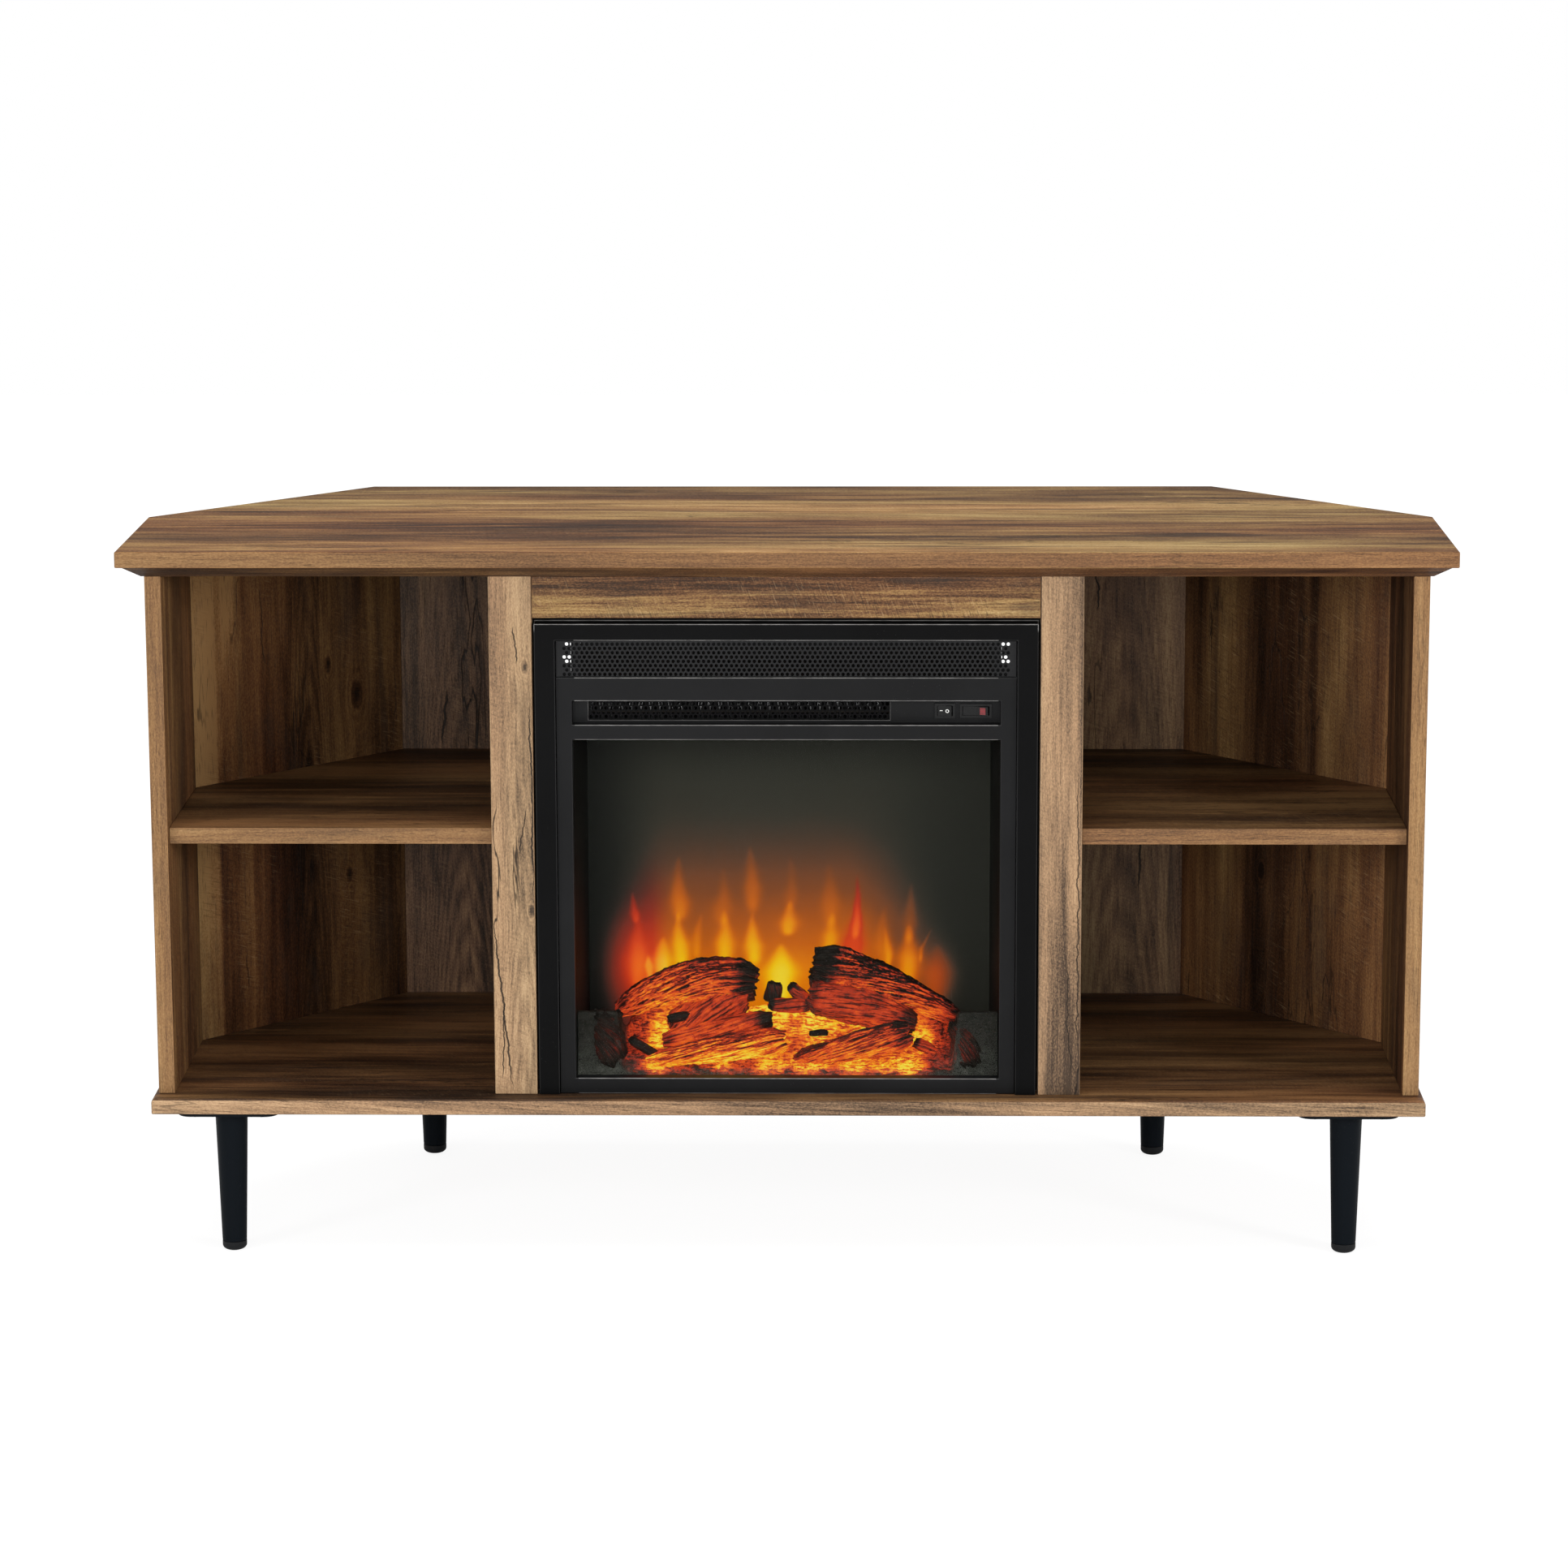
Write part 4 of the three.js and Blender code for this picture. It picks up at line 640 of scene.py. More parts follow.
EMBER_STOPS = [
    (0.0, "000000"), (0.14, "1a0906"), (0.28, "521710"), (0.4, "932817"), (0.52, "c43a1c"),
    (0.62, "e2501e"), (0.72, "f56e1e"), (0.82, "ff9a20"), (0.91, "ffc826"), (1.0, "ffe84c"),
]


def glowing_wood(name, strength, grain=1.0):
    """Charred wood lit from inside: the piece's glow, broken by lines along the bark, drives the emission.

    bark holds the distance along a log and the place across it, so that the lines follow the log; ash
    says where loose grey fibres cover the wood."""
    f = Finish(name)
    glow = f.attribute("glow")
    relief = f.attribute("relief")
    ash = f.attribute("ash")
    bark = f.split(f.attribute("bark", "Vector"))
    place = f.place()
    lines = f.streaks(bark, (42.0, 520.0, 520.0), 4.0, 0.62)
    fine = f.streaks(bark, (150.0, 1500.0, 1500.0), 2.0, 0.6)
    cross = f.streaks(bark, (300.0, 170.0, 170.0), 3.0, 0.6)
    spots = f.noise(place, 130.0, 4.0, 0.6)
    curls = f.noise(place, 620.0, 3.0, 0.7, 2.2)
    strands = abs(curls - 0.5).fade(0.07, 0.015)
    dark_line = lines.fade(0.47, 0.62) * 0.34 + fine.fade(0.5, 0.7) * 0.14 + cross.fade(0.56, 0.7) * 0.12
    heat = glow + (spots - 0.5) * 0.26 + (0.5 - lines) * 0.35 - dark_line * grain
    heat = heat - relief.fade(0.5, 0.8) * 0.1 - ash * (0.18 + strands * 0.22)
    char = f.mix(fine.fade(0.3, 0.72), "0e0c0b", "352e2a")
    char = f.mix(lines.fade(0.58, 0.4) * 0.5, char, "0a0808")
    grey = f.mix(strands * 0.8 + spots.fade(0.45, 0.7) * 0.2, "1b1b1a", "a9a7a2")
    base = f.mix(ash, f.mix(glow.fade(0.3, 0.6) * 0.7, char, "3c160e"), grey)
    return f.finish(
        Base_Color=base,
        Roughness=0.7 + (fine - 0.5) * 0.3,
        Specular_IOR_Level=0.14,
        Normal=f.bump(lines * 0.9 + fine * 0.3 + strands * ash * 0.6, 0.9, 0.9),
        Emission_Color=f.ramp(heat, EMBER_STOPS),
        Emission_Strength=strength,
    )


def flame_film(name, strength):
    """The screen behind the logs: finely brushed film, with painted lamp light in its middle and painted
    shadow at its top and sides, and the flames on it.
    """
    f = Finish(name)
    place = f.split(f.place())
    brushed = f.streaks(place, (26.0, 0.0, 2300.0), 3.0, 0.7)
    cloth = f.streaks(place, (2100.0, 0.0, 120.0), 2.0, 0.6)
    heat = f.attribute("fire") * (1.0 + (brushed - 0.5) * 0.1 + (cloth - 0.5) * 0.08)
    warm = f.ramp(heat, [
        (0.0, "2a2925"), (0.12, "45392f"), (0.24, "693f29"), (0.34, "864620"), (0.44, "ad5314"),
        (0.54, "d2650a"), (0.64, "ee8204"), (0.74, "faa603"), (0.86, "ffc90f"), (1.0, "ffe23c"),
    ])
    cold = f.ramp(heat, [
        (0.0, "241f1d"), (0.12, "3b2723"), (0.26, "65281f"), (0.42, "9c2b1b"), (0.56, "c63416"),
        (0.7, "e6481a"), (0.85, "fa6a1c"), (1.0, "ff9a28"),
    ])
    # lit holds the painted lamp light and shadow, shown as emission from near black to grey-brown.
    painted_lamp_light = f.mix(f.attribute("lit") * (1.0 + (brushed - 0.5) * 0.3), "0a0a09", "2b2a24")
    flames = f.mix(f.attribute("redness"), warm, cold)
    return f.finish(
        Base_Color=f.mix(brushed.fade(0.3, 0.7), "0b0b0a", "12120f"),
        Roughness=0.55 + (brushed - 0.5) * 0.2,
        Specular_IOR_Level=0.15,
        Normal=f.bump(brushed, 0.05, 0.3),
        Emission_Color=f.mix(heat.fade(0.02, 0.3), painted_lamp_light, flames),
        Emission_Strength=strength,
    )


def glowing_lens(name, colour, light):
    """A lens with a lamp behind it: brighter in its middle, with fine ribs."""
    f = Finish(name)
    x, y, z = f.split(f.place())
    ribs = (x * 9000.0).math("SINE") * 0.5 + 0.5
    cloud = f.noise(f.place(), 500.0, 3.0, 0.6)
    return f.finish(
        Base_Color=f.mix(cloud.fade(0.3, 0.7), colour, "2a0808"),
        Roughness=0.15 + ribs * 0.1,
        Emission_Color=f.mix(ribs * 0.4, light, "30060a"),
        Emission_Strength=0.35,
        Normal=f.bump(ribs, 0.1, 0.4),
    )


def shadow_floor(name, colour):
    """Pale floor that a camera sees as white with the object's soft shadow on it, far off as plain white."""
    f = Finish(name)
    fine = f.noise(f.place(), 40.0, 3.0, 0.5)
    x, y, z = f.split(f.place())
    far = ((x * x + y * y) ** 0.5).fade(1.2, 2.6)
    lit = f.add("ShaderNodeBsdfDiffuse", None, {"Color": f.mix(fine * 0.02, colour, "d8d8d8")})
    plain = f.add("ShaderNodeEmission", None, {"Color": WHITE, "Strength": 1.12})
    path = f.add("ShaderNodeLightPath", output="Is Camera Ray")
    return f.end([path * (far * 0.2 + 0.8), lit, plain])


# Finishes by name, made when a piece first asks for one

TOP_STOPS = [
    (0.0, "2a1d15"), (0.2, "442f1f"), (0.34, "62432a"), (0.46, "79583a"),
    (0.58, "907047"), (0.72, "a38456"), (0.88, "b59767"), (1.0, "c4aa7c"),
]
TOP_BANDS = ((-200, 200), [
    (0.0, 0.58), (0.1, 0.6), (0.17, 0.42), (0.25, 0.4), (0.31, 0.36), (0.38, 0.42), (0.46, 0.5),
    (0.52, 0.62), (0.66, 0.66), (0.74, 0.5), (0.8, 0.38), (0.88, 0.5), (1.0, 0.46),
])
EDGE_STOPS = [(0.0, "463020"), (0.3, "6f5035"), (0.5, "876441"), (0.7, "99764f"), (1.0, "b08e62")]
DARK_STOPS = [
    (0.0, "1e130c"), (0.25, "3b271a"), (0.5, "5a3f28"), (0.72, "765638"), (1.0, "94704a"),
]
STILE_STOPS = [
    (0.0, "45372b"), (0.2, "7a634c"), (0.38, "997c5e"), (0.56, "b09270"), (0.76, "c0a27e"),
    (1.0, "d0b896"),
]
BACK_STOPS = [
    (0.0, "201811"), (0.25, "4c3a2c"), (0.5, "725843"), (0.7, "8d7053"), (1.0, "ab8f6a"),
]
RED_STOPS = [
    (0.0, "1f130c"), (0.25, "452c1c"), (0.5, "6a4a2f"), (0.72, "886540"), (1.0, "a88659"),
]

NARROW = dict(
    stops=EDGE_STOPS, broad=0.4, streak=0.5, line=0.7, wander=6.0, crack=0.3, vein=0.15, fleck=0.12, tint=0.2,
)
STILE = dict(stops=STILE_STOPS, streak=0.62, vein=0.2, pore=0.35)
SIDE = dict(stops=RED_STOPS, broad=0.8, streak=0.7, wander=14.0)
DIAGONAL = dict(stops=RED_STOPS, streak=0.6, line=0.4, blotch=0.45, fleck=0.5, wander=8.0, vein=0.45)
BACK = dict(stops=BACK_STOPS, broad=0.8, streak=0.6, line=0.45, crack=0.9, blotch=0.35, wander=14.0)
LEVEL = dict(stops=DARK_STOPS, broad=1.3, wander=18.0)

OAK_LOOKS = {
    "oak_top": dict(
        stops=TOP_STOPS, bands=TOP_BANDS, contrast=1.15, broad=0.8, wander=20.0, vein=0.7, gloss=0.07,
        tint=0.5, shift=-0.02,
    ),
    "oak_top_edge": dict(NARROW, broad=0.35, fleck=0.1, vein=0.12, blotch=0.12, tint=0.25, shift=-0.07),
    "oak_moulding": dict(stops=DARK_STOPS, broad=0.9, wander=10.0, fleck=0.2, vein=0.8, shift=-0.05),
    "oak_header": dict(
        stops=TOP_STOPS, broad=0.55, blotch=0.55, fleck=0.55, wander=12.0, shift=-0.04,
        bands=((600, 648), [(0.0, 0.46), (0.5, 0.5), (1.0, 0.42)]),
    ),
    "oak_stile_left": dict(
        STILE, broad=0.6, line=0.55, crack=0.9, wander=26.0, shift=-0.01, tint=0.25,
        knots=((330, -238, 3), (560, -236, 3)), arches=((250, -246, 22, 200, 4, 0.1),),
        splits=(
            (330, 150, -272, -254, 1.1), (250, 165, -262, -264, 0.7), (600, 560, -250, -246, 0.8),
            (430, 380, -240, -246, 0.7), (540, 330, -236, -233, 0.9),
        ),
    ),
    "oak_stile_right": dict(
        STILE, broad=0.55, line=0.5, crack=0.8, wander=9.0, tint=0.14, blotch=0.45, shift=-0.22, low=0.11,
        bands=((232, 272), [(0.0, 0.6), (0.45, 0.56), (0.62, 0.42), (0.8, 0.46), (0.92, 0.4), (1.0, 0.16)]),
        splits=((480, 170, 268, 269, 0.9), (300, 160, 258, 262, 0.6)),
    ),
    # The two sides are one oak: the left copy's higher shift is painted light and the right copy's lower shift
    # painted shade.
    "oak_side_left": dict(SIDE, shift=0.03),
    "oak_side_right": dict(SIDE, shift=-0.18),
    "oak_side_edge": dict(NARROW, shift=0.05),
    "oak_shelf_edge": dict(NARROW, shift=-0.04),
    # Painted light: the bright strip at the side end of the bands is a pool of lamp light with the stile's
    # shadow edge painted sharp; the fall after it is partly grain and partly painted shade.
    "oak_diagonal_left": dict(
        DIAGONAL, broad=0.95, shift=0.035, contrast=1.4, tint=0.5,
        bands=((-421, -142), [
            (0.0, 0.86), (0.165, 0.88), (0.175, 0.6), (0.26, 0.58), (0.36, 0.5), (0.44, 0.38),
            (0.52, 0.48), (0.66, 0.52), (0.8, 0.42), (1.0, 0.46),
        ]),
        arches=((420, -260, 30, 260, 5, 0.1),),
        knots=((505, -235, 4), (470, -200, 7), (290, -215, 4)),
        splits=((600, 500, -318, -314, 0.8), (240, 190, -345, -341, 0.8)),
    ),
    # Painted light: the lighter part of the bands towards the side end, from 0.615 on and brightest at the
    # very end, is a pool of lamp light with the stile's shadow edge painted in.
    "oak_diagonal_right": dict(
        DIAGONAL, broad=0.85, shift=-0.18, contrast=1.2,
        bands=((142, 421), [
            (0.0, 0.56), (0.2, 0.56), (0.32, 0.44), (0.5, 0.4), (0.55, 0.48), (0.605, 0.5),
            (0.615, 0.66), (0.9, 0.68), (0.93, 0.86), (1.0, 0.86),
        ]),
        knots=((300, 246, 4),),
        splits=((560, 500, 176, 178, 0.8),),
    ),
    "oak_back_left": dict(
        BACK, tint=0.25, shift=-0.04, arches=((230, -330, 44, 260, 6, 0.12),),
        bands=((-405, -272), [(0.0, 0.54), (0.66, 0.56), (0.67, 0.42), (1.0, 0.46)]),
        splits=((640, 560, -330, -326, 1.2), (470, 410, -345, -350, 1.6), (300, 240, -290, -296, 1.2)),
    ),
    "oak_back_right": dict(
        BACK, tint=0.35, shift=0.05, arches=((300, 330, 60, 320, 6, 0.1),),
        splits=((620, 540, 300, 304, 1.2), (330, 260, 350, 345, 1.4)),
    ),
    "oak_shelf": dict(LEVEL, shift=0.16),
    # Painted shade: the bands darken the front 40 mm of the bottom panel's upper face.
    "oak_bottom": dict(
        LEVEL, shift=0.17, bands=((-200, 200), [(0.0, 0.16), (0.05, 0.2), (0.1, 0.5), (1.0, 0.5)])
    ),
    "oak_bottom_edge": dict(
        stops=STILE_STOPS, broad=0.5, streak=0.85, crack=0.4, tilt=0.05, shift=-0.15, vein=0.35, tint=0.2,
    ),
    "oak_divider": dict(stops=DARK_STOPS, broad=0.9, wander=14.0),
}

MADE = {}


def look(name):
    """The finish of that name, made once."""
    if name not in MADE:
        MADE[name] = make_look(name)
    return MADE[name]


def toned(colour, share):
    """A colour made darker or lighter by a share."""
    return (*[c * share for c in colour[:3]], 1.0)


def make_look(name):
    settings = bpy.context.scene.stand_finishes
    if name in OAK_LOOKS:
        return oak(name, settings.grain_depth / MM, **OAK_LOOKS[name])
    sheet, leg = tuple(settings.sheet_colour), tuple(settings.leg_colour)
    finishes = {
        "sheet_black": (powder_coat, sheet, 0.44),
        # The trim and vent copies of the one steel paint are darker and lighter than the bezel's: painted
        # shade on the trim, painted sheen on the vent.
        "trim_black": (powder_coat, toned(sheet, 0.35), 0.42, 0.08, "000000", 0.06),
        "bezel_black": (powder_coat, toned(sheet, 1.0), 0.42, 0.08, "000000", 0.12),
        "vent_black": (powder_coat, toned(sheet, 1.3), 0.4, 0.08, "000000", 0.16),
        # Painted highlight on the level broken edges of the trim, bezel and fascia.
        "edge_black": (worn_edge, "7c7a78", "0b0b0b"),
        "leg_black": (powder_coat, leg, 0.42, 0.06, "0c0f12", 0.05),
        "liner_black": (powder_coat, "141412", 0.66, 0.2),
        "plastic_black": (moulded_plastic, "0e0e0e"),
        "switch_black": (moulded_plastic, "0d0d0d", 0.34),
        "foot_black": (moulded_plastic, "0c0e10", 0.5),
        "mark_white": (moulded_plastic, "e6e6e2", 0.5),
        "fin_aluminium": (bare_metal, "d8dada", 0.3, (1.0, 1.0, 60.0)),
        # Painted glints in white over fins in near-black painted shade.
        "heater_fins": (heater_fins, "ffffff", "0c0c0c"),
        "ceramic_brown": (moulded_plastic, "2c2723", 0.6),
        "steel_plain": (bare_metal, "a9aaab", 0.36),
        "screw_steel": (bare_metal, "4a4c4e", 0.36),
        "board_white": (moulded_plastic, "d8d4c4", 0.5),
        "glass": (window_glass,),
        "log_glow": (glowing_wood, settings.ember_strength),
        "bed_glow": (glowing_wood, settings.ember_strength, 0.8),
        "flame_film": (flame_film, settings.flame_strength),
        "lamp_lens": (glowing_lens, "5a1014", "b0242c"),
        "floor_white": (shadow_floor, "f2f2f2"),
    }
    maker, *values = finishes[name]
    return maker(name, *values)


# Cabinet

TOP_PLAN = [(-609.5, -200), (609.5, -200), (609.5, 5.5), (415, 200), (-415, 200), (-609.5, 5.5)]
MOULDING_PLAN = [
    (-604.5, -195), (604.5, -195), (604.5, -6.47), (405.03, 193), (-405.03, 193), (-604.5, -6.47),
]
BOTTOM_PLAN = [
    (-590.8, -197), (590.8, -197), (590.8, 10.06), (405.86, 195), (-405.86, 195), (-590.8, 10.06),
]
TOP_LEVELS = (655.3, 670)
BOTTOM_LEVELS = (140, 155)
SHELF_LEVELS = (392, 407)
HEADER_FOOT, BRACE_FOOT = 605.5, 564.5
SIDE_PLAN = [(571.1, -178.5), (586.1, -178.5), (586.1, -9.7), (571.1, 5.3)]
DIAGONAL_PLAN = [(586.1, -9.28), (586.1, 11.93), (410.03, 188), (388.82, 188)]
BACK_PLAN = [(256.9, 188.3), (409.73, 188.3), (405.03, 193), (256.9, 193)]
DIVIDER_PLAN = rectangle(256.9, 271.9, -163.2, 187.7)
STILE_PLAN = rectangle(232.5, 271.9, -178.5, -163.5)
SHELF_PLAN = [(272.2, -170.1), (570.8, -170.1), (570.8, 5.6), (388.7, 187.7), (272.2, 187.7)]
HEADER_PLAN = rectangle(-232.2, 232.2, -178.5, -163.5)
BRACE_PLAN = rectangle(-256.6, 256.6, 173, 187.7)
CASE_LOW, CASE_HIGH = 155.3, 644.2

# Each pair of upright boards: its right-hand plan, its seed, its looks with the side left open, the
# radius of its arrises and its slot
UPRIGHTS = (
    ("side_panel", SIDE_PLAN, 7.0, ["oak_side_{}", "oak_side_edge"], 0.7, "oak"),
    ("diagonal_panel", DIAGONAL_PLAN, 9.0, ["oak_diagonal_{}"], 0.7, "oak"),
    ("back_panel", BACK_PLAN, 11.0, ["oak_back_{}"], 0.4, "oak"),
    ("divider", DIVIDER_PLAN, 13.0, ["oak_divider"], 0.7, "oak"),
    ("stile", STILE_PLAN, 15.0, ["oak_stile_{}"], 0.7, "oak_light"),
)


def on_edges(normals):
    """Faces that don't lie flat."""
    return np.abs(normals[:, 2]) < 0.7


def on_front(normals):
    """Faces that look forwards."""
    return normals[:, 1] < -0.7


def build_flat_boards(rounding):
    """Top, moulding, bottom panel and shelves: outlines in plan, carried up through their levels."""
    board(
        "top_panel", TOP_PLAN, arris_levels(*TOP_LEVELS, 1, rounding), [look("oak_top"), look("oak_top_edge")],
        1.0, seed=1.0, edge=on_edges,
    )
    lean = np.array([1, 1, 0, 0, 0, 1.0])
    levels = [(644.5, 15 * lean + 0.3), (644.8, 15 * lean), (654.7, 0.4 * lean), (655, 0.4 * lean + 0.4)]
    board("top_moulding", MOULDING_PLAN, levels, look("oak_moulding"), 0.6, seed=2.0, slot="oak_dark")
    board(
        "bottom_panel", BOTTOM_PLAN, arris_levels(*BOTTOM_LEVELS, 1, 4, 5),
        [look("oak_bottom"), look("oak_bottom_edge")], 1.2, seed=3.0, edge=on_edges,
    )
    for side, plan, seed in (("left", mirrored(SHELF_PLAN), 4.0), ("right", SHELF_PLAN, 5.5)):
        board(
            f"shelf_{side}", plan, arris_levels(*SHELF_LEVELS, 0.6, 0.6),
            [look("oak_shelf"), look("oak_shelf_edge")], 0.6, seed=seed, edge=on_edges,
        )


def build_upright_boards():
    """Sides, diagonals, backs, dividers, stiles, header rail and rear brace: plans carried upwards."""
    levels = arris_levels(CASE_LOW, CASE_HIGH, 0.4, 0.4, 2)
    for kind, plan, seed, words, radius, slot in UPRIGHTS:
        for side, outline in (("left", mirrored(plan)), ("right", plan)):
            looks = [look(word.format(side)) for word in words]
            board(
                f"{kind}_{side}", outline, levels, looks, radius, True, seed + (side == "right"),
                on_front if len(looks) > 1 else None, slot,
            )
    for name, plan, low, seed in (
        ("header_rail", HEADER_PLAN, HEADER_FOOT, 17.0), ("rear_brace", BRACE_PLAN, BRACE_FOOT, 18.0)
    ):
        board(name, plan, arris_levels(low, CASE_HIGH, 0.7, 0.7), look("oak_header"), 0.7, seed=seed)


LEG_PLACES = {
    "front_left": (-520.8, -164.0), "front_right": (520.8, -164.0),
    "rear_left": (-360.86, 149.0), "rear_right": (360.86, 149.0),
}


def screw_head(x0, y0, z0):
    """A pan head seen from below: a dome over a polar grid, pressed in where a cross of two bars lies."""
    rings, outer = 13, 4.4
    radius = np.linspace(0.02, 1, rings)[:, None] * outer
    angle = np.linspace(0, 2 * np.pi, TURN_STEPS, endpoint=False)[None]
    x, y = radius * np.cos(angle), radius * np.sin(angle)
    dome = 2.6 * np.sqrt(np.clip(1 - (radius / 4.45) ** 4, 0, 1)) + 0 * angle
    near = np.minimum(np.abs(x), np.abs(y))
    far = np.maximum(np.abs(x), np.abs(y))
    cross = smooth_step(0.75, 0.45, near) * smooth_step(2.7, 2.2, far)
    points = np.stack([x0 + x, y0 + y, z0 - dome + 1.2 * cross], -1).reshape(-1, 3)
    rim = points[-TURN_STEPS:] * [1, 1, 0] + [0, 0, z0 + 0.2]
    return np.concatenate([points, rim]), closed_grid(rings + 1, TURN_STEPS)


def leg_profile():
    """Radius and height up a leg: rounded foot, even taper, shoulder and the pin in its plate."""
    foot = [(0, 9.3), (10.6, 9.3), (11.2, 9.5), (11.4, 10.0)]
    taper = [(11.4 + 3.8 * (h - 9.3) / 127.1, h) for h in np.linspace(12, 134, 12)]
    return foot + taper + [(15.0, 135.7), (14.5, 136.3), (13.8, 136.4), (4, 136.4), (4, 139.4), (0, 139.4)]


def foot_profile():
    """Radius and height up a foot cap: flat sole, quarter circle, wall and the pin inside the leg."""
    angle = np.linspace(0, np.pi / 2, 8)[1:]
    curve = [(5 + 6.4 * math.sin(a), 4.5 * (1 - math.cos(a)) + 0.05) for a in angle]
    sole = [(0, 0), (4.2, 0), (5, 0.05)]
    return sole + curve + [(11.4, 8.6), (11.2, 8.9), (10.9, 9.0), (4, 9.0), (4, 17), (0, 17)]


def build_legs():
    """Tapered legs, feet and fixing plates: turned profiles and rounded plates, with cross-head screws."""
    plate_low, plate_high = 136.7, 139.7
    for word, (x, y) in LEG_PLACES.items():
        points, faces = lathe(leg_profile(), (x, y))
        new_piece(f"leg_{word}_taper", points, faces, look("leg_black"), "leg_black", [f"leg_{word}"], 30)
        points, faces = lathe(foot_profile(), (x, y))
        new_piece(f"foot_cap_{word}_sole", points, faces, look("foot_black"), "black_plastic",
                  [f"foot_cap_{word}"], 30)
        corners = rectangle(x - 47, x + 47, y - 30, y + 30)
        points, faces = prism(corners, arris_levels(plate_low, plate_high, 0.6, 0.3, 3), 12, 6)
        new_piece(f"leg_plate_{word}_steel", points, faces, look("leg_black"), "leg_black",
                  [f"leg_plate_{word}"])
        parts = [screw_head(x + dx, y + dy, plate_low) for dx in (-31, 31) for dy in (-19, 19)]
        merge_parts(f"leg_screws_{word}", parts, look("screw_steel"), "bare_steel", smooth=30)


# Steel front


def perforated_sheet(centre_x, centre_z, columns, rows, pitch, radius):
    """Front face of a sheet with staggered round holes, as points (x, z) and faces.

    Each cell is a ring of quads between a circle of 12 points and the cell's own outline of 12 points;
    every second row is moved by half a pitch, and a plain half cell fills each of its ends."""
    height = pitch * math.sqrt(3) / 2
    edge = np.array([
        (0, 0), (0.25, 0), (0.5, 0), (0.75, 0), (1, 0), (1, 0.5),
        (1, 1), (0.75, 1), (0.5, 1), (0.25, 1), (0, 1), (0, 0.5),
    ]) * [pitch, height]
    away = edge - [pitch / 2, height / 2]
    circle = away / np.linalg.norm(away, axis=1)[:, None] * radius + [pitch / 2, height / 2]
    cell = np.concatenate([edge, circle])
    ring = np.arange(12)
    quads = np.stack([ring, (ring + 1) % 12, (ring + 1) % 12 + 12, ring + 12], 1)
    row, column = np.mgrid[0:rows, 0:columns]
    stagger = (row % 2) * pitch / 2
    corner = np.stack([column * pitch + stagger, row * height], -1).reshape(-1, 1, 2)
    points = (corner + cell).reshape(-1, 2)
    faces = (quads[None] + (np.arange(rows * columns) * 24)[:, None, None]).reshape(-1, 4)
    holes = (ring[None] + 12 + (np.arange(rows * columns) * 24)[:, None])
    block = np.stack(np.meshgrid([0, 0.25, 0.5], [0, 0.5, 1]), -1).reshape(-1, 2) * [pitch, height]
    odd = np.arange(rows)
    end = np.where(odd % 2, 0, columns * pitch)
    blanks = (np.stack([end, odd * height], -1)[:, None] + block).reshape(-1, 2)
    blank_faces = (grid_quads(3, 3)[None] + (odd * 9)[:, None, None]).reshape(-1, 4) + len(points)
    points = np.concatenate([points, blanks])
    width, depth = (columns + 0.5) * pitch, rows * height
    across = np.arange(0, 4 * columns + 3) * pitch / 4
    up = np.arange(0, 2 * rows + 1) * height / 2
    rim = np.concatenate([
        np.stack([across[:-1], 0 * across[:-1]], 1),
        np.stack([np.full(len(up) - 1, width), up[:-1]], 1),
        np.stack([across[:0:-1], np.full(len(across) - 1, depth)], 1),
        np.stack([np.zeros(len(up) - 1), up[:0:-1]], 1),
    ])
    shift = np.array([centre_x - width / 2, centre_z - depth / 2])
    return points + shift, np.concatenate([faces, blank_faces]), holes, rim + shift


def raised(flat, y):
    """Points (x, z) carried to a depth y."""
    return np.column_stack([flat[:, 0], np.full(len(flat), y), flat[:, 1]])


def punched_plate(name, cells, outer, front, fold, finish, replaces):
    """A punched plate: both faces, the holes' walls and a rim folded back round the outer rectangle.

    cells is what perforated_sheet gives, outer the rectangle's x0, x1, z0, z1. The rim follows the
    rectangle, turns through a quarter circle and runs back by the fold."""
    thickness, bend = 1.0, 1.2
    flat, faces, holes, rim = cells
    count = len(flat)
    points = np.concatenate([raised(flat, front), raised(flat, front + thickness)])
    walls = np.stack([holes, np.roll(holes, -1, 1), np.roll(holes, -1, 1) + count, holes + count], -1)
    x0, x1, z0, z1 = outer
    on_side = (rim >= rim.max(0)) * 1 - (rim <= rim.min(0))
    target = np.where(on_side < 0, [x0, z0], np.where(on_side > 0, [x1, z1], rim))
    path = [(bend * (1 - math.sin(a)), bend * (1 - math.cos(a))) for a in np.linspace(0, np.pi / 2, 6)]
    path += [(0.0, fold), (thickness, fold), (thickness, thickness)]
    rings = [raised(target - on_side * inset, front + back) for inset, back in path]
    rings = [raised(rim, front), *rings, raised(rim, front + thickness)]
    folded = grid_quads(len(rings), len(rim), wrap=True, start=len(points))
    groups = [faces, faces[:, ::-1] + count, walls.reshape(-1, 4), folded[:, ::-1]]
    points, groups = welded(np.concatenate([points, *rings]), groups)
    new_piece(name, points, groups, finish, "black_sheet", replaces)


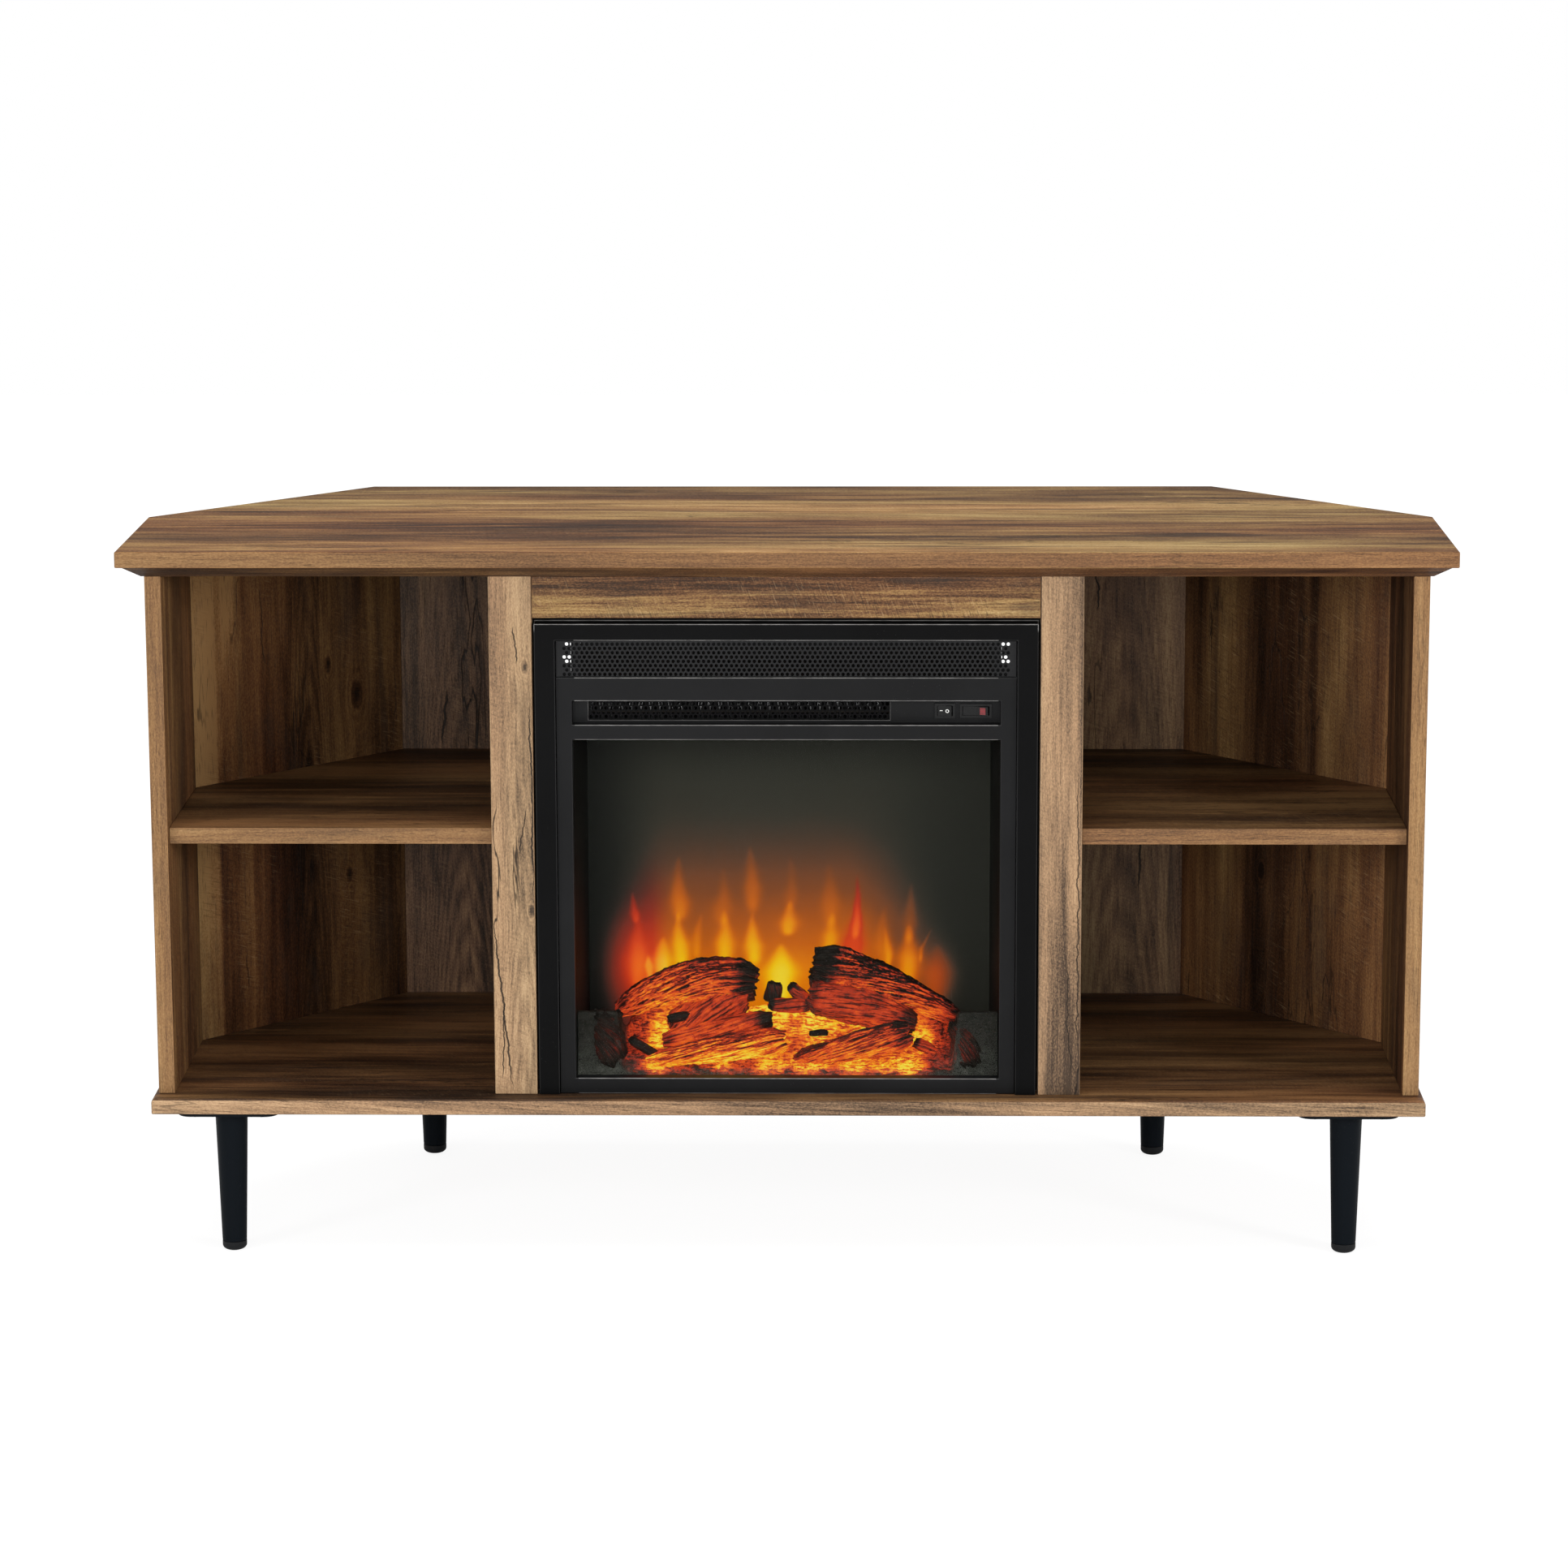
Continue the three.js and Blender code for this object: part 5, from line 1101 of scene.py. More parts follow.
def build_grilles():
    """Intake grille with the tabs behind its ends, and the outlet grille, punched with staggered holes."""
    base = INSERT_BASE
    cells = perforated_sheet(0, base + 411.8, 88, 8, 4.64, 1.65)
    outer = (-211.2, 211.2, base + 394.8, base + 429.2)
    punched_plate("vent_grille_punched", cells, outer, INSERT_FRONT + 3, 10.5, look("vent_black"),
                  ["vent_grille"])
    tabs = []
    for x0, x1, low, high in (
        (197, 209.6, 396.0, 407.8), (197, 209.6, 415.8, 423.9), (188, 196.8, 396.0, 428.6),
        (-209.6, -197, 396.0, 407.8), (-209.6, -197, 415.8, 423.9), (-196.8, -188, 396.0, 428.6),
        (-187.8, 187.8, 422.6, 428.6),
    ):
        corners = rectangle(x0, x1, INSERT_FRONT + 4.3, INSERT_FRONT + 5.3)
        tabs.append(prism(corners, arris_levels(base + low, base + high, 0.2, 0.2, 2), 0.3))
    merge_parts("vent_grille_tabs", tabs, look("trim_black"), "black_sheet")
    cells = perforated_sheet(-43.5, base + 361.3, 60, 4, 4.58, 1.7)
    outer = (-186, 99, base + 350.3, base + 372.3)
    punched_plate("outlet_grille_punched", cells, outer, INSERT_FRONT + 18.1, 5.5, look("trim_black"),
                  ["outlet_grille"])


def build_steel_front():
    """Trim, bezel, fascia, casing and brackets: the folded sheet parts with their edges broken."""
    # The broken edges' second finish is a painted highlight on the level ones.
    edge_highlight = look("edge_black")
    refined("trim_frame", look("trim_black"), 0.7, 3, edge=edge_highlight)
    refined("front_bezel", look("bezel_black"), 0.6, 3, edge=edge_highlight)
    refined("control_fascia", look("sheet_black"), 0.25, edge=edge_highlight)
    refined("casing", look("sheet_black"))
    for node in ("rear_cover", "insert_bracket_left", "insert_bracket_right"):
        refined(node, look("sheet_black"), 0.4)
    refined("cord_gland", look("plastic_black"), 0.4)


def build_window():
    """The glass pane: a rounded rectangle, its levels running back from the front."""
    corners = rectangle(-198.2, 198.2, 168.3, 493.2)
    points, faces = prism(corners, arris_levels(-163.7, -159.7, 0.4, 0.4, 2), 1.5, 4)
    new_piece("window_pane", points[:, [0, 2, 1]], flipped(faces), look("glass"), "smoked_glass",
              ["glass_pane"])


# Switches

ROCKER_TILT = math.radians(9)
POWER_X, HEAT_X = 145.6, 174.0


def on_rocker(x, face_x, face_z, lift):
    """World places on a rocker's left half: distances along and up the face, and out from it, at rest.

    The half slopes away from the pivot by the tilt, and the rocker itself is turned by as much."""
    along = np.asarray(face_x, float)
    y_face = -1.2 - np.abs(along) * math.tan(ROCKER_TILT) - lift
    turn = -ROCKER_TILT
    wx = along * math.cos(turn) - y_face * math.sin(turn)
    wy = along * math.sin(turn) + y_face * math.cos(turn)
    return np.stack([x + wx, INSERT_FRONT + 15.8 + wy, INSERT_BASE + 361.35 + np.asarray(face_z)], -1)


def raised_shape(outline, hole, x, lift=0.12):
    """A thin raised mark on a rocker: its wall and its face, flat or with a hole through it.

    The grid of rings runs up the outline's wall and over the face; with a hole it goes on down the hole's
    wall and back under the face, and without one it is closed by a flat above and one below."""
    rings = [(outline, -0.05), (outline, lift)]
    if hole is not None:
        rings += [(hole, lift), (hole, -0.05), (outline, -0.05)]
    points = np.concatenate([on_rocker(x, ring[:, 0], ring[:, 1], out) for ring, out in rings])
    faces = closed_grid(len(rings), len(outline))
    return welded(points, faces if hole is None else faces[:1], 4)


def circle_points(x, z, radius, steps=24):
    """Points on a circle in the rocker's face."""
    angle = np.linspace(0, 2 * np.pi, steps, endpoint=False)
    return np.stack([x + radius * np.cos(angle), z + radius * np.sin(angle)], 1)


def box_points(x, z, width, height, steps=6):
    """Points round a rectangle in the rocker's face, counterclockwise from the lower left."""
    t = np.linspace(0, 1, steps, endpoint=False)
    low, high, left, right = z - height / 2, z + height / 2, x - width / 2, x + width / 2
    return np.concatenate([
        np.stack([left + width * t, np.full(steps, low)], 1),
        np.stack([np.full(steps, right), low + height * t], 1),
        np.stack([right - width * t, np.full(steps, high)], 1),
        np.stack([np.full(steps, left), high - height * t], 1),
    ])


def build_switches():
    """Switch housings and rockers, the dash and ring on the small rocker and the lamp in the wide one."""
    for word in ("power", "heat"):
        refined(f"{word}_switch", look("switch_black"), 0.3, 3)
        refined(f"{word}_rocker", look("switch_black"), 0.25, 3, f"{word}_rocker", 5)
    parts = [
        raised_shape(box_points(-3.2, 0.3, 2.6, 0.6), None, POWER_X),
        raised_shape(circle_points(2.4, 0, 1.7), circle_points(2.4, 0, 1.05), POWER_X),
    ]
    merge_parts("power_marks", parts, look("mark_white"), "black_plastic", body="power_rocker")
    part = raised_shape(box_points(6.6, 0, 5.2, 6.4, 8), None, HEAT_X, 0.3)
    merge_parts("heat_lamp", [part], look("lamp_lens"), "black_plastic", body="heat_rocker")


# Fire


def log_place(shares):
    """A place in the firebox, in mm, from shares of its half width, its depth and the logs' height."""
    x, y, z = shares
    depth = FIREBOX_FRONT + y * (SCREEN_FRONT - 0.3 - FIREBOX_FRONT)
    return np.array([x * FIREBOX_HALF, INSERT_FRONT + depth, INSERT_BASE + z * LOG_HEIGHT])


def bent(values, t):
    """A value along a curve with one bend: mixed from first to second to third."""
    a, b, c = values
    return (a + (b - a) * t) * (1 - t) + (b + (c - b) * t) * t


def log_surface(axis, radii, seed, rings=190, sides=210):
    """A charred log: rings round a bent axis, whose radius is the log's thickness times its bark.

    The bark adds long ridges, blocky cracks and fine grit to the radius; both ends are broken off, their
    faces sunk and ragged. Returns points, faces, the relief's height, shares along and places in the bark."""
    a, b, c = (log_place(p) for p in axis)
    t = np.linspace(0, 1, rings)[:, None]
    angle = np.linspace(0, 2 * np.pi, sides, endpoint=False)[None]
    centre = (1 - t) ** 2 * a + 2 * t * (1 - t) * b + t**2 * c
    along = 2 * (1 - t) * (b - a) + 2 * t * (c - b)
    along /= np.linalg.norm(along, axis=1)[:, None]
    across = np.cross([0, 0.02, 1.0], along)
    across /= np.linalg.norm(across, axis=1)[:, None]
    over = np.cross(along, across)
    length = np.linalg.norm(c - a)
    phase = axis[0][0] * 2 * np.pi
    wood = 1 + 0.07 * np.sin(3 * angle + 4 * t + phase) + 0.05 * np.sin(5 * angle + 9 * t + phase)
    end = np.minimum(1, 0.72 + 0.3 * np.minimum(t, 1 - t) / 0.1)
    thick = LOG_RADIUS * bent(radii, t)
    radius = thick * wood * end
    run = t * length + 0 * angle
    round_x, round_y = thick * np.cos(angle + 1.2 * t), thick * np.sin(angle + 1.2 * t)
    ridges = fractal(np.stack([run / 60, round_x / 3.4, round_y / 3.4], -1), 3, seed, 0.5)
    blocks = fractal(np.stack([run / 13, round_x / 7, round_y / 7], -1), 3, seed + 20, 0.5)
    grit = fractal(np.stack([run / 3.2, round_x / 2.4, round_y / 2.4], -1), 3, seed + 40, 0.6)
    grooves = 1 - np.abs(2 * ridges - 1) ** 0.8
    cracks = np.abs(2 * blocks - 1) ** 0.7
    relief = 0.8 * (1 - grooves) + 0.3 * cracks + 0.2 * grit
    scale = np.clip(thick / 16, 0.35, 1.2)
    radius = radius + ((relief - 0.42) * 4.6 + (grit - 0.5) * 1.2) * scale
    ragged = (fractal(np.stack([round_x / 5, round_y / 5, 0 * run], -1), 3, seed + 60) - 0.5) * 10 * scale
    push = ragged * (bell(t, 0.04) - bell(1 - t, 0.04))
    points = centre[:, None] + radius[..., None] * (
        across[:, None] * np.cos(angle)[..., None] + over[:, None] * np.sin(angle)[..., None]
    ) + along[:, None] * push[..., None]
    caps = []
    for ring, sign in ((0, 1.0), (-1, -1.0)):
        share = np.linspace(0.93, 0.06, CAP_RINGS)[:, None]
        edge = points[ring][None] - centre[ring]
        chips = fractal(edge * share[..., None] / 3, 3, seed + 80)
        sink = (1 - share) * 1.8 * scale[ring] + (chips - 0.5) * 3.4 * scale[ring]
        caps.append(centre[ring] + edge * share[..., None] + along[ring] * (sign * sink)[..., None])
    points = np.concatenate([caps[0][::-1], points, caps[1]])
    ends = ((CAP_RINGS, CAP_RINGS), (0, 0))
    shares = np.pad(t + 0 * angle, ends, "edge")
    relief = np.pad(relief, ends, constant_values=0.4)
    bark = np.pad(np.stack([run, round_x, round_y], -1), (*ends, (0, 0)), "edge")
    bark = bark.reshape(-1, 3) + [seed * 9, 0, 0]
    faces = closed_grid(len(points), sides)
    return points.reshape(-1, 3), faces, relief.ravel(), shares.ravel(), bark


# Each log: its bent axis, its radii, how charred its ends are, how strongly it glows and how scorched
# its top is
LOGS = {
    "log_left": (
        ((-0.81, 0.55, 0.5), (-0.505, 0.55, 0.815), (-0.16, 0.53, 0.715)), (0.5, 1.1, 1.05),
        (0.2, 0.8), 0.66, 0.4,
    ),
    "log_right": (
        ((0.81, 0.55, 0.435), (0.505, 0.55, 0.715), (0.12, 0.55, 0.865)), (0.45, 0.98, 1.1),
        (0.5, 0.9), 0.58, 0.7,
    ),
    "log_front_left": (
        ((-0.66, 0.2, 0.17), (-0.3, 0.19, 0.27), (-0.01, 0.22, 0.33)), (0.4, 0.72, 0.66),
        (0.0, 0.1), 0.86, 0.4,
    ),
    "log_front_right": (
        ((0.03, 0.2, 0.18), (0.3, 0.19, 0.29), (0.575, 0.23, 0.38)), (0.42, 0.68, 0.7),
        (0.0, 0.5), 0.72, 0.4,
    ),
}

# Each smaller piece moulded in the bed: its bent axis, its radii, how strongly it glows and how charred
# its two ends are
MOULDED = [
    (((-0.59, 0.32, 0.3), (-0.3, 0.33, 0.4), (-0.075, 0.35, 0.48)), (0.45, 0.56, 0.45), 0.6, 0.2, 1.0),
    (((0.1, 0.44, 0.66), (0.32, 0.4, 0.58), (0.6, 0.4, 0.42)), (0.85, 1.0, 0.6), 0.52, 0.5, 0.4),
    (((-0.08, 0.4, 0.6), (-0.07, 0.41, 0.7), (-0.06, 0.42, 0.76)), (0.4, 0.42, 0.32), 0.22, 0.3, 0.8),
    (((-0.55, 0.46, 0.36), (-0.38, 0.44, 0.56), (-0.2, 0.46, 0.62)), (0.7, 0.95, 0.7), 0.56, 0.3, 0.2),
    (((-0.57, 0.36, 0.47), (-0.5, 0.35, 0.49), (-0.44, 0.36, 0.5)), (0.22, 0.26, 0.24), 0.05, 1.0, 1.0),
    (((0.1, 0.3, 0.37), (0.15, 0.3, 0.38), (0.19, 0.3, 0.37)), (0.14, 0.17, 0.14), 0.1, 1.0, 1.0),
    (((-0.75, 0.24, 0.34), (-0.67, 0.22, 0.26), (-0.6, 0.2, 0.19)), (0.2, 0.24, 0.2), 0.2, 0.6, 0.8),
    (((-0.09, 0.36, 0.6), (0.0, 0.37, 0.58), (0.1, 0.38, 0.57)), (0.34, 0.36, 0.3), 0.5, 0.9, 0.6),
    (((0.01, 0.4, 0.74), (0.05, 0.41, 0.66), (0.09, 0.41, 0.6)), (0.26, 0.34, 0.3), 0.4, 0.9, 0.2),
    (((0.79, 0.22, 0.5), (0.85, 0.17, 0.38), (0.87, 0.16, 0.14)), (0.5, 0.7, 0.66), 0.2, 0.7, 0.6),
    (((0.68, 0.2, 0.16), (0.76, 0.2, 0.14), (0.84, 0.22, 0.12)), (0.18, 0.24, 0.2), 0.04, 1.0, 1.0),
    (((-0.9, 0.2, 0.2), (-0.82, 0.2, 0.16), (-0.74, 0.2, 0.08)), (0.3, 0.42, 0.36), 0.2, 0.6, 0.4),
    (((-0.86, 0.2, 0.58), (-0.86, 0.17, 0.42), (-0.83, 0.17, 0.16)), (0.7, 0.8, 0.74), 0.14, 1.0, 0.3),
    (((0.12, 0.26, 0.16), (0.3, 0.24, 0.12), (0.46, 0.24, 0.16)), (0.4, 0.5, 0.4), 0.68, 0.0, 0.0),
    (((0.6, 0.3, 0.3), (0.68, 0.3, 0.24), (0.72, 0.3, 0.16)), (0.3, 0.36, 0.3), 0.5, 0.6, 0.2),
]


def glow_of(points, normals, shares, char_ends, heat, scorched):
    """How strongly each place glows: more from below, less on top and at charred ends."""
    up = normals[:, 2]
    patches = fractal(points / [26, 26, 15], 4, 7)
    glow = heat - scorched * smooth_step(0.35, 0.9, up) + 0.16 * smooth_step(0.0, -0.8, up)
    glow = glow + (patches - 0.5) * 0.42
    first, last = char_ends
    ends = first * smooth_step(0.15, 0.03, shares) + last * smooth_step(0.82, 0.96, shares)
    return np.clip(glow - 0.6 * ends, 0, 1)


def fire_values(piece, relief, glow, ash, bark):
    """Puts what the fire's material reads on a piece."""
    point_values(piece, "relief", relief)
    point_values(piece, "glow", glow)
    point_values(piece, "ash", ash)
    layer = piece.data.attributes.new("bark", "FLOAT_VECTOR", "POINT")
    layer.data.foreach_set("vector", (np.asarray(bark) * MM).astype(np.float32).ravel())


def build_logs():
    """The four loose logs. Each carries its relief, its glow and its bark's places for the material."""
    for seed, (name, (axis, radii, charred, heat, scorched)) in enumerate(LOGS.items()):
        points, faces, relief, shares, bark = log_surface(axis, radii, 100 * seed + 3)
        piece = new_piece(f"{name}_charred", points, faces, look("log_glow"), "char", [name], 60)
        normals = read(piece.data.vertex_normals, "vector", 3, np.float32)
        glow = glow_of(points, normals, shares, charred, heat, scorched)
        fire_values(piece, relief, glow, np.zeros(len(points)), bark)


def firebox_half(y):
    """Half the firebox's width at a depth behind the insert's front: it narrows towards the screen."""
    return FIREBOX_HALF - 6 * (y - FIREBOX_FRONT) / (SCREEN_FRONT - FIREBOX_FRONT)


HOT_SPOTS = [
    (-17, 31, 13), (18, 31, 16), (62, 31, 15), (112, 33, 16), (-116, 60, 14), (-88, 62, 18), (30, 62, 14),
    (-20, 64, 14), (75, 62, 14), (-8, 80, 22), (-60, 32, 8), (90, 30, 8), (-125, 34, 12), (130, 60, 10),
]


def bed_surface(columns=284, rows=108):
    """The ember bed: height over the firebox floor from a front slope, a rise behind, ash blocks and chips.

    The slope runs from 9 to 30 mm over the first third, a bell 36 high lies under the back logs with a
    mound below each of them, blocks 70 high that fall off backwards stand in the corners, and noise, taken
    at the places in space so that steep faces get it too, adds lumps, chips and grit."""
    y0, y1 = FIREBOX_FRONT + 0.3, SCREEN_FRONT - 0.3
    depth = np.linspace(y0, y1, rows)[None]
    half = firebox_half(depth) - 1.8
    x = np.linspace(-1, 1, columns)[:, None] * half
    y = depth + 0 * x
    share = (y - FIREBOX_FRONT) / (SCREEN_FRONT - FIREBOX_FRONT)
    slope = 9 + 21 * np.minimum(1, share / 0.35)
    under = 36 * bell(x, 110) * bell(y - (FIREBOX_FRONT + SCREEN_FRONT) / 2, 26)
    mounds = 44 * bell(np.abs(x) - 96, 54, 4) * smooth_step(0.34, 0.56, share)
    block = smooth_step(45, 37, firebox_half(y) - np.abs(x)) * smooth_step(0.06, 0.1, share)
    corner = 71 - 46 * smooth_step(0.08, 1.0, share)
    height = np.maximum(slope + under, slope + mounds) * (1 - block) + corner * block
    place = np.stack([x, y, height], -1)
    lumps = fractal(place / 14, 3, 301)
    chips = 1 - np.abs(2 * fractal(place / [6.5, 4.0, 6.5], 3, 302) - 1)
    grit = fractal(place / 2.1, 3, 303)
    height = height + ((lumps - 0.5) * 6 + (chips - 0.55) * 4.2) * (1 - 0.85 * block) + (grit - 0.5) * 1.8
    relief = np.clip(0.4 * lumps + 0.5 * chips + 0.25 * grit - 0.05, 0, 1)
    top = np.stack([x, INSERT_FRONT + y, INSERT_BASE + height], -1)
    points = np.pad(top, ((0, 0), (1, 1), (0, 0)), "edge")
    points[:, [0, -1], 2] = INSERT_BASE + 1.8
    points = points.reshape(-1, 3)
    hot = sum(bell(np.hypot(x - hx, (y - hy) * 1.3), r) for hx, hy, r in HOT_SPOTS)
    middle = smooth_step(172, 120, np.abs(x))
    strip = smooth_step(0.11, 0.05, share) * smooth_step(30, 16, height)
    seam = 0.16 * bell(share - 0.42, 0.2)
    glow = middle * (0.62 + seam + 0.56 * np.minimum(hot, 1))
    glow = glow + bell(np.abs(x) - 158, 22) * 0.4 * (1 - middle)
    glow = glow - 0.3 * mounds / 44 * smooth_step(40, 80, height) - strip * (0.1 + 0.3 * (1 - middle))
    glow = (glow + (fractal(place / 9, 4, 305) - 0.5) * 0.4) * (1 - block)
    ash = np.maximum(strip * (0.55 + 0.45 * (1 - middle)), 0.1 * block)
    ash = np.maximum(ash, 0.5 * (1 - middle) * smooth_step(0.3, 0.1, share) * (1 - block))
    pad = ((0, 0), (1, 1))
    values = [np.pad(np.clip(value, 0, 1), pad).ravel() for value in (relief, glow, ash)]
    return points, flipped(closed_grid(columns, rows + 2)), *values, points * [3, 1, 1]


def build_ember_bed():
    """The ember bed with the smaller pieces that are moulded in one with it."""
    lots = [bed_surface()]
    for seed, (axis, radii, heat, first, last) in enumerate(MOULDED):
        size = (70, 86) if max(radii) > 0.5 else (40, 40)
        part, groups, rough, shares, bark = log_surface(axis, radii, 500 + 100 * seed, *size)
        ends = first * smooth_step(0.16, 0.04, shares) + last * smooth_step(0.8, 0.94, shares)
        patches = fractal(part / [20, 20, 12], 4, 17)
        glow = np.clip(heat + (patches - 0.5) * 0.4 - 0.5 * ends, 0, 1)
        lots.append((part, groups, rough, glow, 0 * glow, bark))
    starts = np.cumsum([0] + [len(lot[0]) for lot in lots])
    faces = [np.asarray(group) + start for lot, start in zip(lots, starts) for group in lot[1]]
    points, relief, glow, ash, bark = (np.concatenate([lot[i] for lot in lots]) for i in (0, 2, 3, 4, 5))
    piece = new_piece("ember_bed_moulded", points, faces, look("bed_glow"), "ember", ["ember_bed"], 60)
    fire_values(piece, relief, glow, ash, bark)


# Each tongue of flame: x of its foot, heights of its foot, widest place and tip, half width, lean,
# strength and redness
FLAMES = [
    (-147, 130, 141, 163, 4.5, 0, 0.26, 1.0), (-146, 56, 96, 146, 10, 1, 0.2, 1.0),
    (-104, 130, 153, 198, 10, 0, 0.19, 0.0), (-104, 76, 112, 142, 8, 0, 0.26, 0.0),
    (-121, 66, 96, 119, 10, 2, 0.32, 0.0), (-135, 66, 90, 102, 4, 0, 0.3, 0.0),
    (-88, 92, 118, 142, 5, 4, 0.12, 0.0), (-63, 126, 148, 186, 8, 0, 0.1, 0.0),
    (-62, 84, 112, 145, 9, 0, 0.25, 0.0), (-35, 136, 168, 208, 9, 0, 0.17, 0.0),
    (-34, 86, 110, 142, 9, 0, 0.27, 0.0), (1, 142, 160, 198, 7, 0, 0.08, 0.0),
    (0, 117, 132, 155, 8.5, 0, 0.25, 0.0), (-8, 40, 84, 112, 15, 0, 0.34, 0.0),
    (38, 124, 150, 190, 8, 0, 0.1, 0.0), (38, 88, 120, 143, 8, 0, 0.17, 0.0),
    (63, 114, 130, 180, 5, 0, 0.24, 1.0), (62, 70, 112, 152, 13, 0, 0.14, 1.0),
    (92, 84, 110, 150, 9, 0, 0.12, 0.0), (95, 80, 104, 129, 4, -3, 0.16, 0.0),
    (114, 108, 132, 172, 7, 1, 0.16, 0.0), (114, 56, 98, 131, 12, 0, 0.34, 0.0),
    (126, 90, 108, 129, 2, 10, 0.16, 0.0), (140, 44, 84, 112, 14, 3, 0.16, 0.2),
]


def flame_light(x, z):
    """Heat and redness of the flames at places on the screen.

    A tongue's half width grows as a root from its foot to its widest place and shrinks evenly to its tip,
    and its light fades upwards. Haze lies behind all of them, falling off with height and to both sides."""
    place = np.stack([x / 30, z / 46, 0 * x], -1)
    sway_x = x + (fractal(place, 3, 701) - 0.5) * 7
    heat = red = 0 * x
    for foot_x, foot, wide, tip, width, lean, strength, redness in FLAMES:
        s = np.clip((z - wide) / (tip - wide), 0, 1)
        below = np.sqrt(np.clip((z - foot) / (wide - foot), 0, 1))
        spread = width * (0.12 + 0.88 * np.where(z > wide, (1 - s) ** 0.9, below))
        middle = foot_x + lean * s + 1.2 * np.sin((z - wide) / 14 + foot_x)
        across = bell((sway_x - middle) / spread, 1.0, 2.4)
        body = strength * across * np.sqrt(1 - s) * smooth_step(foot, foot + 0.5 * (wide - foot), z)
        red = red + body * redness
        heat = heat + body
    rise = np.maximum(z - 130, 0) / 84
    haze = 0.46 * np.exp(-(rise**1.2)) + 0.0036 * np.clip(130 - z, 0, 40)
    haze = haze * smooth_step(-188, -106, x) * smooth_step(172, 52, x)
    side = 0.34 * bell(x + 150, 28) * bell(z - 92, 44) + 0.2 * bell(x - 142, 26) * bell(z - 80, 34)
    mottle = 0.88 + 0.24 * fractal(place * 0.7, 3, 702)
    left = smooth_step(-108, -136, x) * smooth_step(230, 150, z)
    return np.clip(heat + (haze + side) * mottle, 0, 1), np.clip(red / 0.1 + left + side * 0.8, 0, 1)


def screen_light(x, z):
    """Painted lamp light on the film, given as emission: bright in the middle, with painted shadow at its top
    and towards its sides, deepest on the left.
    """
    level = smooth_step(-190, -105, x) * (1 - 0.6 * smooth_step(60, 178, x))
    return level * (0.1 + 0.9 * smooth_step(330, 262, z))


def build_flame_screen():
    """The flame screen: a fine grid on its front that carries the flames' light and the painted lamp light,
    and a plain back.
    """
    columns, rows = 257, 226
    x = np.linspace(-SCREEN_HALF, SCREEN_HALF, columns)[None] + np.zeros((rows, 1))
    z = np.linspace(1.8, 339.6, rows)[:, None] + np.zeros((1, columns))
    front = np.stack([x, np.full_like(x, INSERT_FRONT + SCREEN_FRONT), INSERT_BASE + z], -1).reshape(-1, 3)
    around = np.concatenate([
        np.arange(columns), columns * np.arange(1, rows) + columns - 1,
        columns * (rows - 1) + np.arange(columns - 1)[::-1], columns * np.arange(1, rows - 1)[::-1],
    ])
    back = front[around] + [0, 3, 0]
    ring = len(front) + np.arange(len(around))
    walls = np.stack([around, ring, np.roll(ring, -1), np.roll(around, -1)], 1)
    faces = [grid_quads(rows, columns), walls, [ring[::-1]]]
    piece = new_piece("flame_screen_film", np.concatenate([front, back]), faces, look("flame_film"),
                      "screen", ["flame_screen"])
    heat, red = flame_light(x, z)
    # lit carries the painted lamp light and shadow on the film.
    for key, values in (("fire", heat), ("redness", red), ("lit", screen_light(x, z))):
        point_values(piece, key, np.pad(values.ravel(), (0, len(around))))


# Heater


def build_heating_element():
    """Two rows of folded aluminium fins between three ceramic bars, behind the outlet grille.

    A row is a strip folded to and fro along x: a zigzag of pitch 2.9 mm carried back over its depth."""
    x0, x1, y0, y1 = -182.0, 95.0, -143.9, -129.9
    half_pitch, thick, gap = 1.45, 0.11, 0.05
    bars = []
    for low, high in ((498.4, 501.2), (510.6, 513.0), (522.6, 525.3)):
        bars.append(prism(rectangle(x0, x1, y0, y1), arris_levels(low, high, 0.3, 0.3, 2), 0.5))
    merge_parts("heating_bars", bars, look("ceramic_brown"), "bare_aluminium", ["heating_element"])
    strips = []
    folds = np.arange(int((x1 - x0 - 2) / half_pitch))
    for low, high in ((501.2, 510.6), (513.0, 522.6)):
        x = x0 + 1 + folds * half_pitch
        height = np.where(folds % 2, high - gap, low + gap)
        line = np.concatenate([np.stack([x - thick, height], 1), np.stack([x + thick, height], 1)[::-1]])
        size = len(line)
        ring, front = np.arange(size), folds[:-1]
        after = np.roll(ring, -1)
        walls = np.stack([ring, ring + size, after + size, after], 1)
        ends = np.stack([front, front + 1, size - 2 - front, size - 1 - front], 1)
        points = np.concatenate([raised(line, y) for y in (y0 + 0.4, y1 - 0.4)])
        strips.append((points, [walls, ends, ends[:, ::-1] + size]))
    merge_parts("heating_fins", strips, look("heater_fins"), "bare_aluminium")


def finish_inner_parts():
    """Gives the nodes that keep their own shape their finishes."""
    looks = {
        "firebox_liner": "liner_black", "spindle_motor": "steel_plain", "spindle_bearing": "plastic_black",
        "led_strip": "board_white", "blower_housing": "steel_plain", "blower_motor": "steel_plain",
        "flame_spindle": "fin_aluminium", "blower_fan": "plastic_black",
    }
    for node, word in looks.items():
        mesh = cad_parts[node].data
        mesh.materials.clear()
        mesh.materials.append(look(word))


# Studio


def aim(obj, place, target):
    """Puts a lamp at a place and turns it to face a target."""
    direction = np.asarray(target, float) - np.asarray(place, float)
    obj.location = place
    obj.rotation_mode = "QUATERNION"
    obj.rotation_quaternion = Vector(direction).to_track_quat("-Z", "Y")


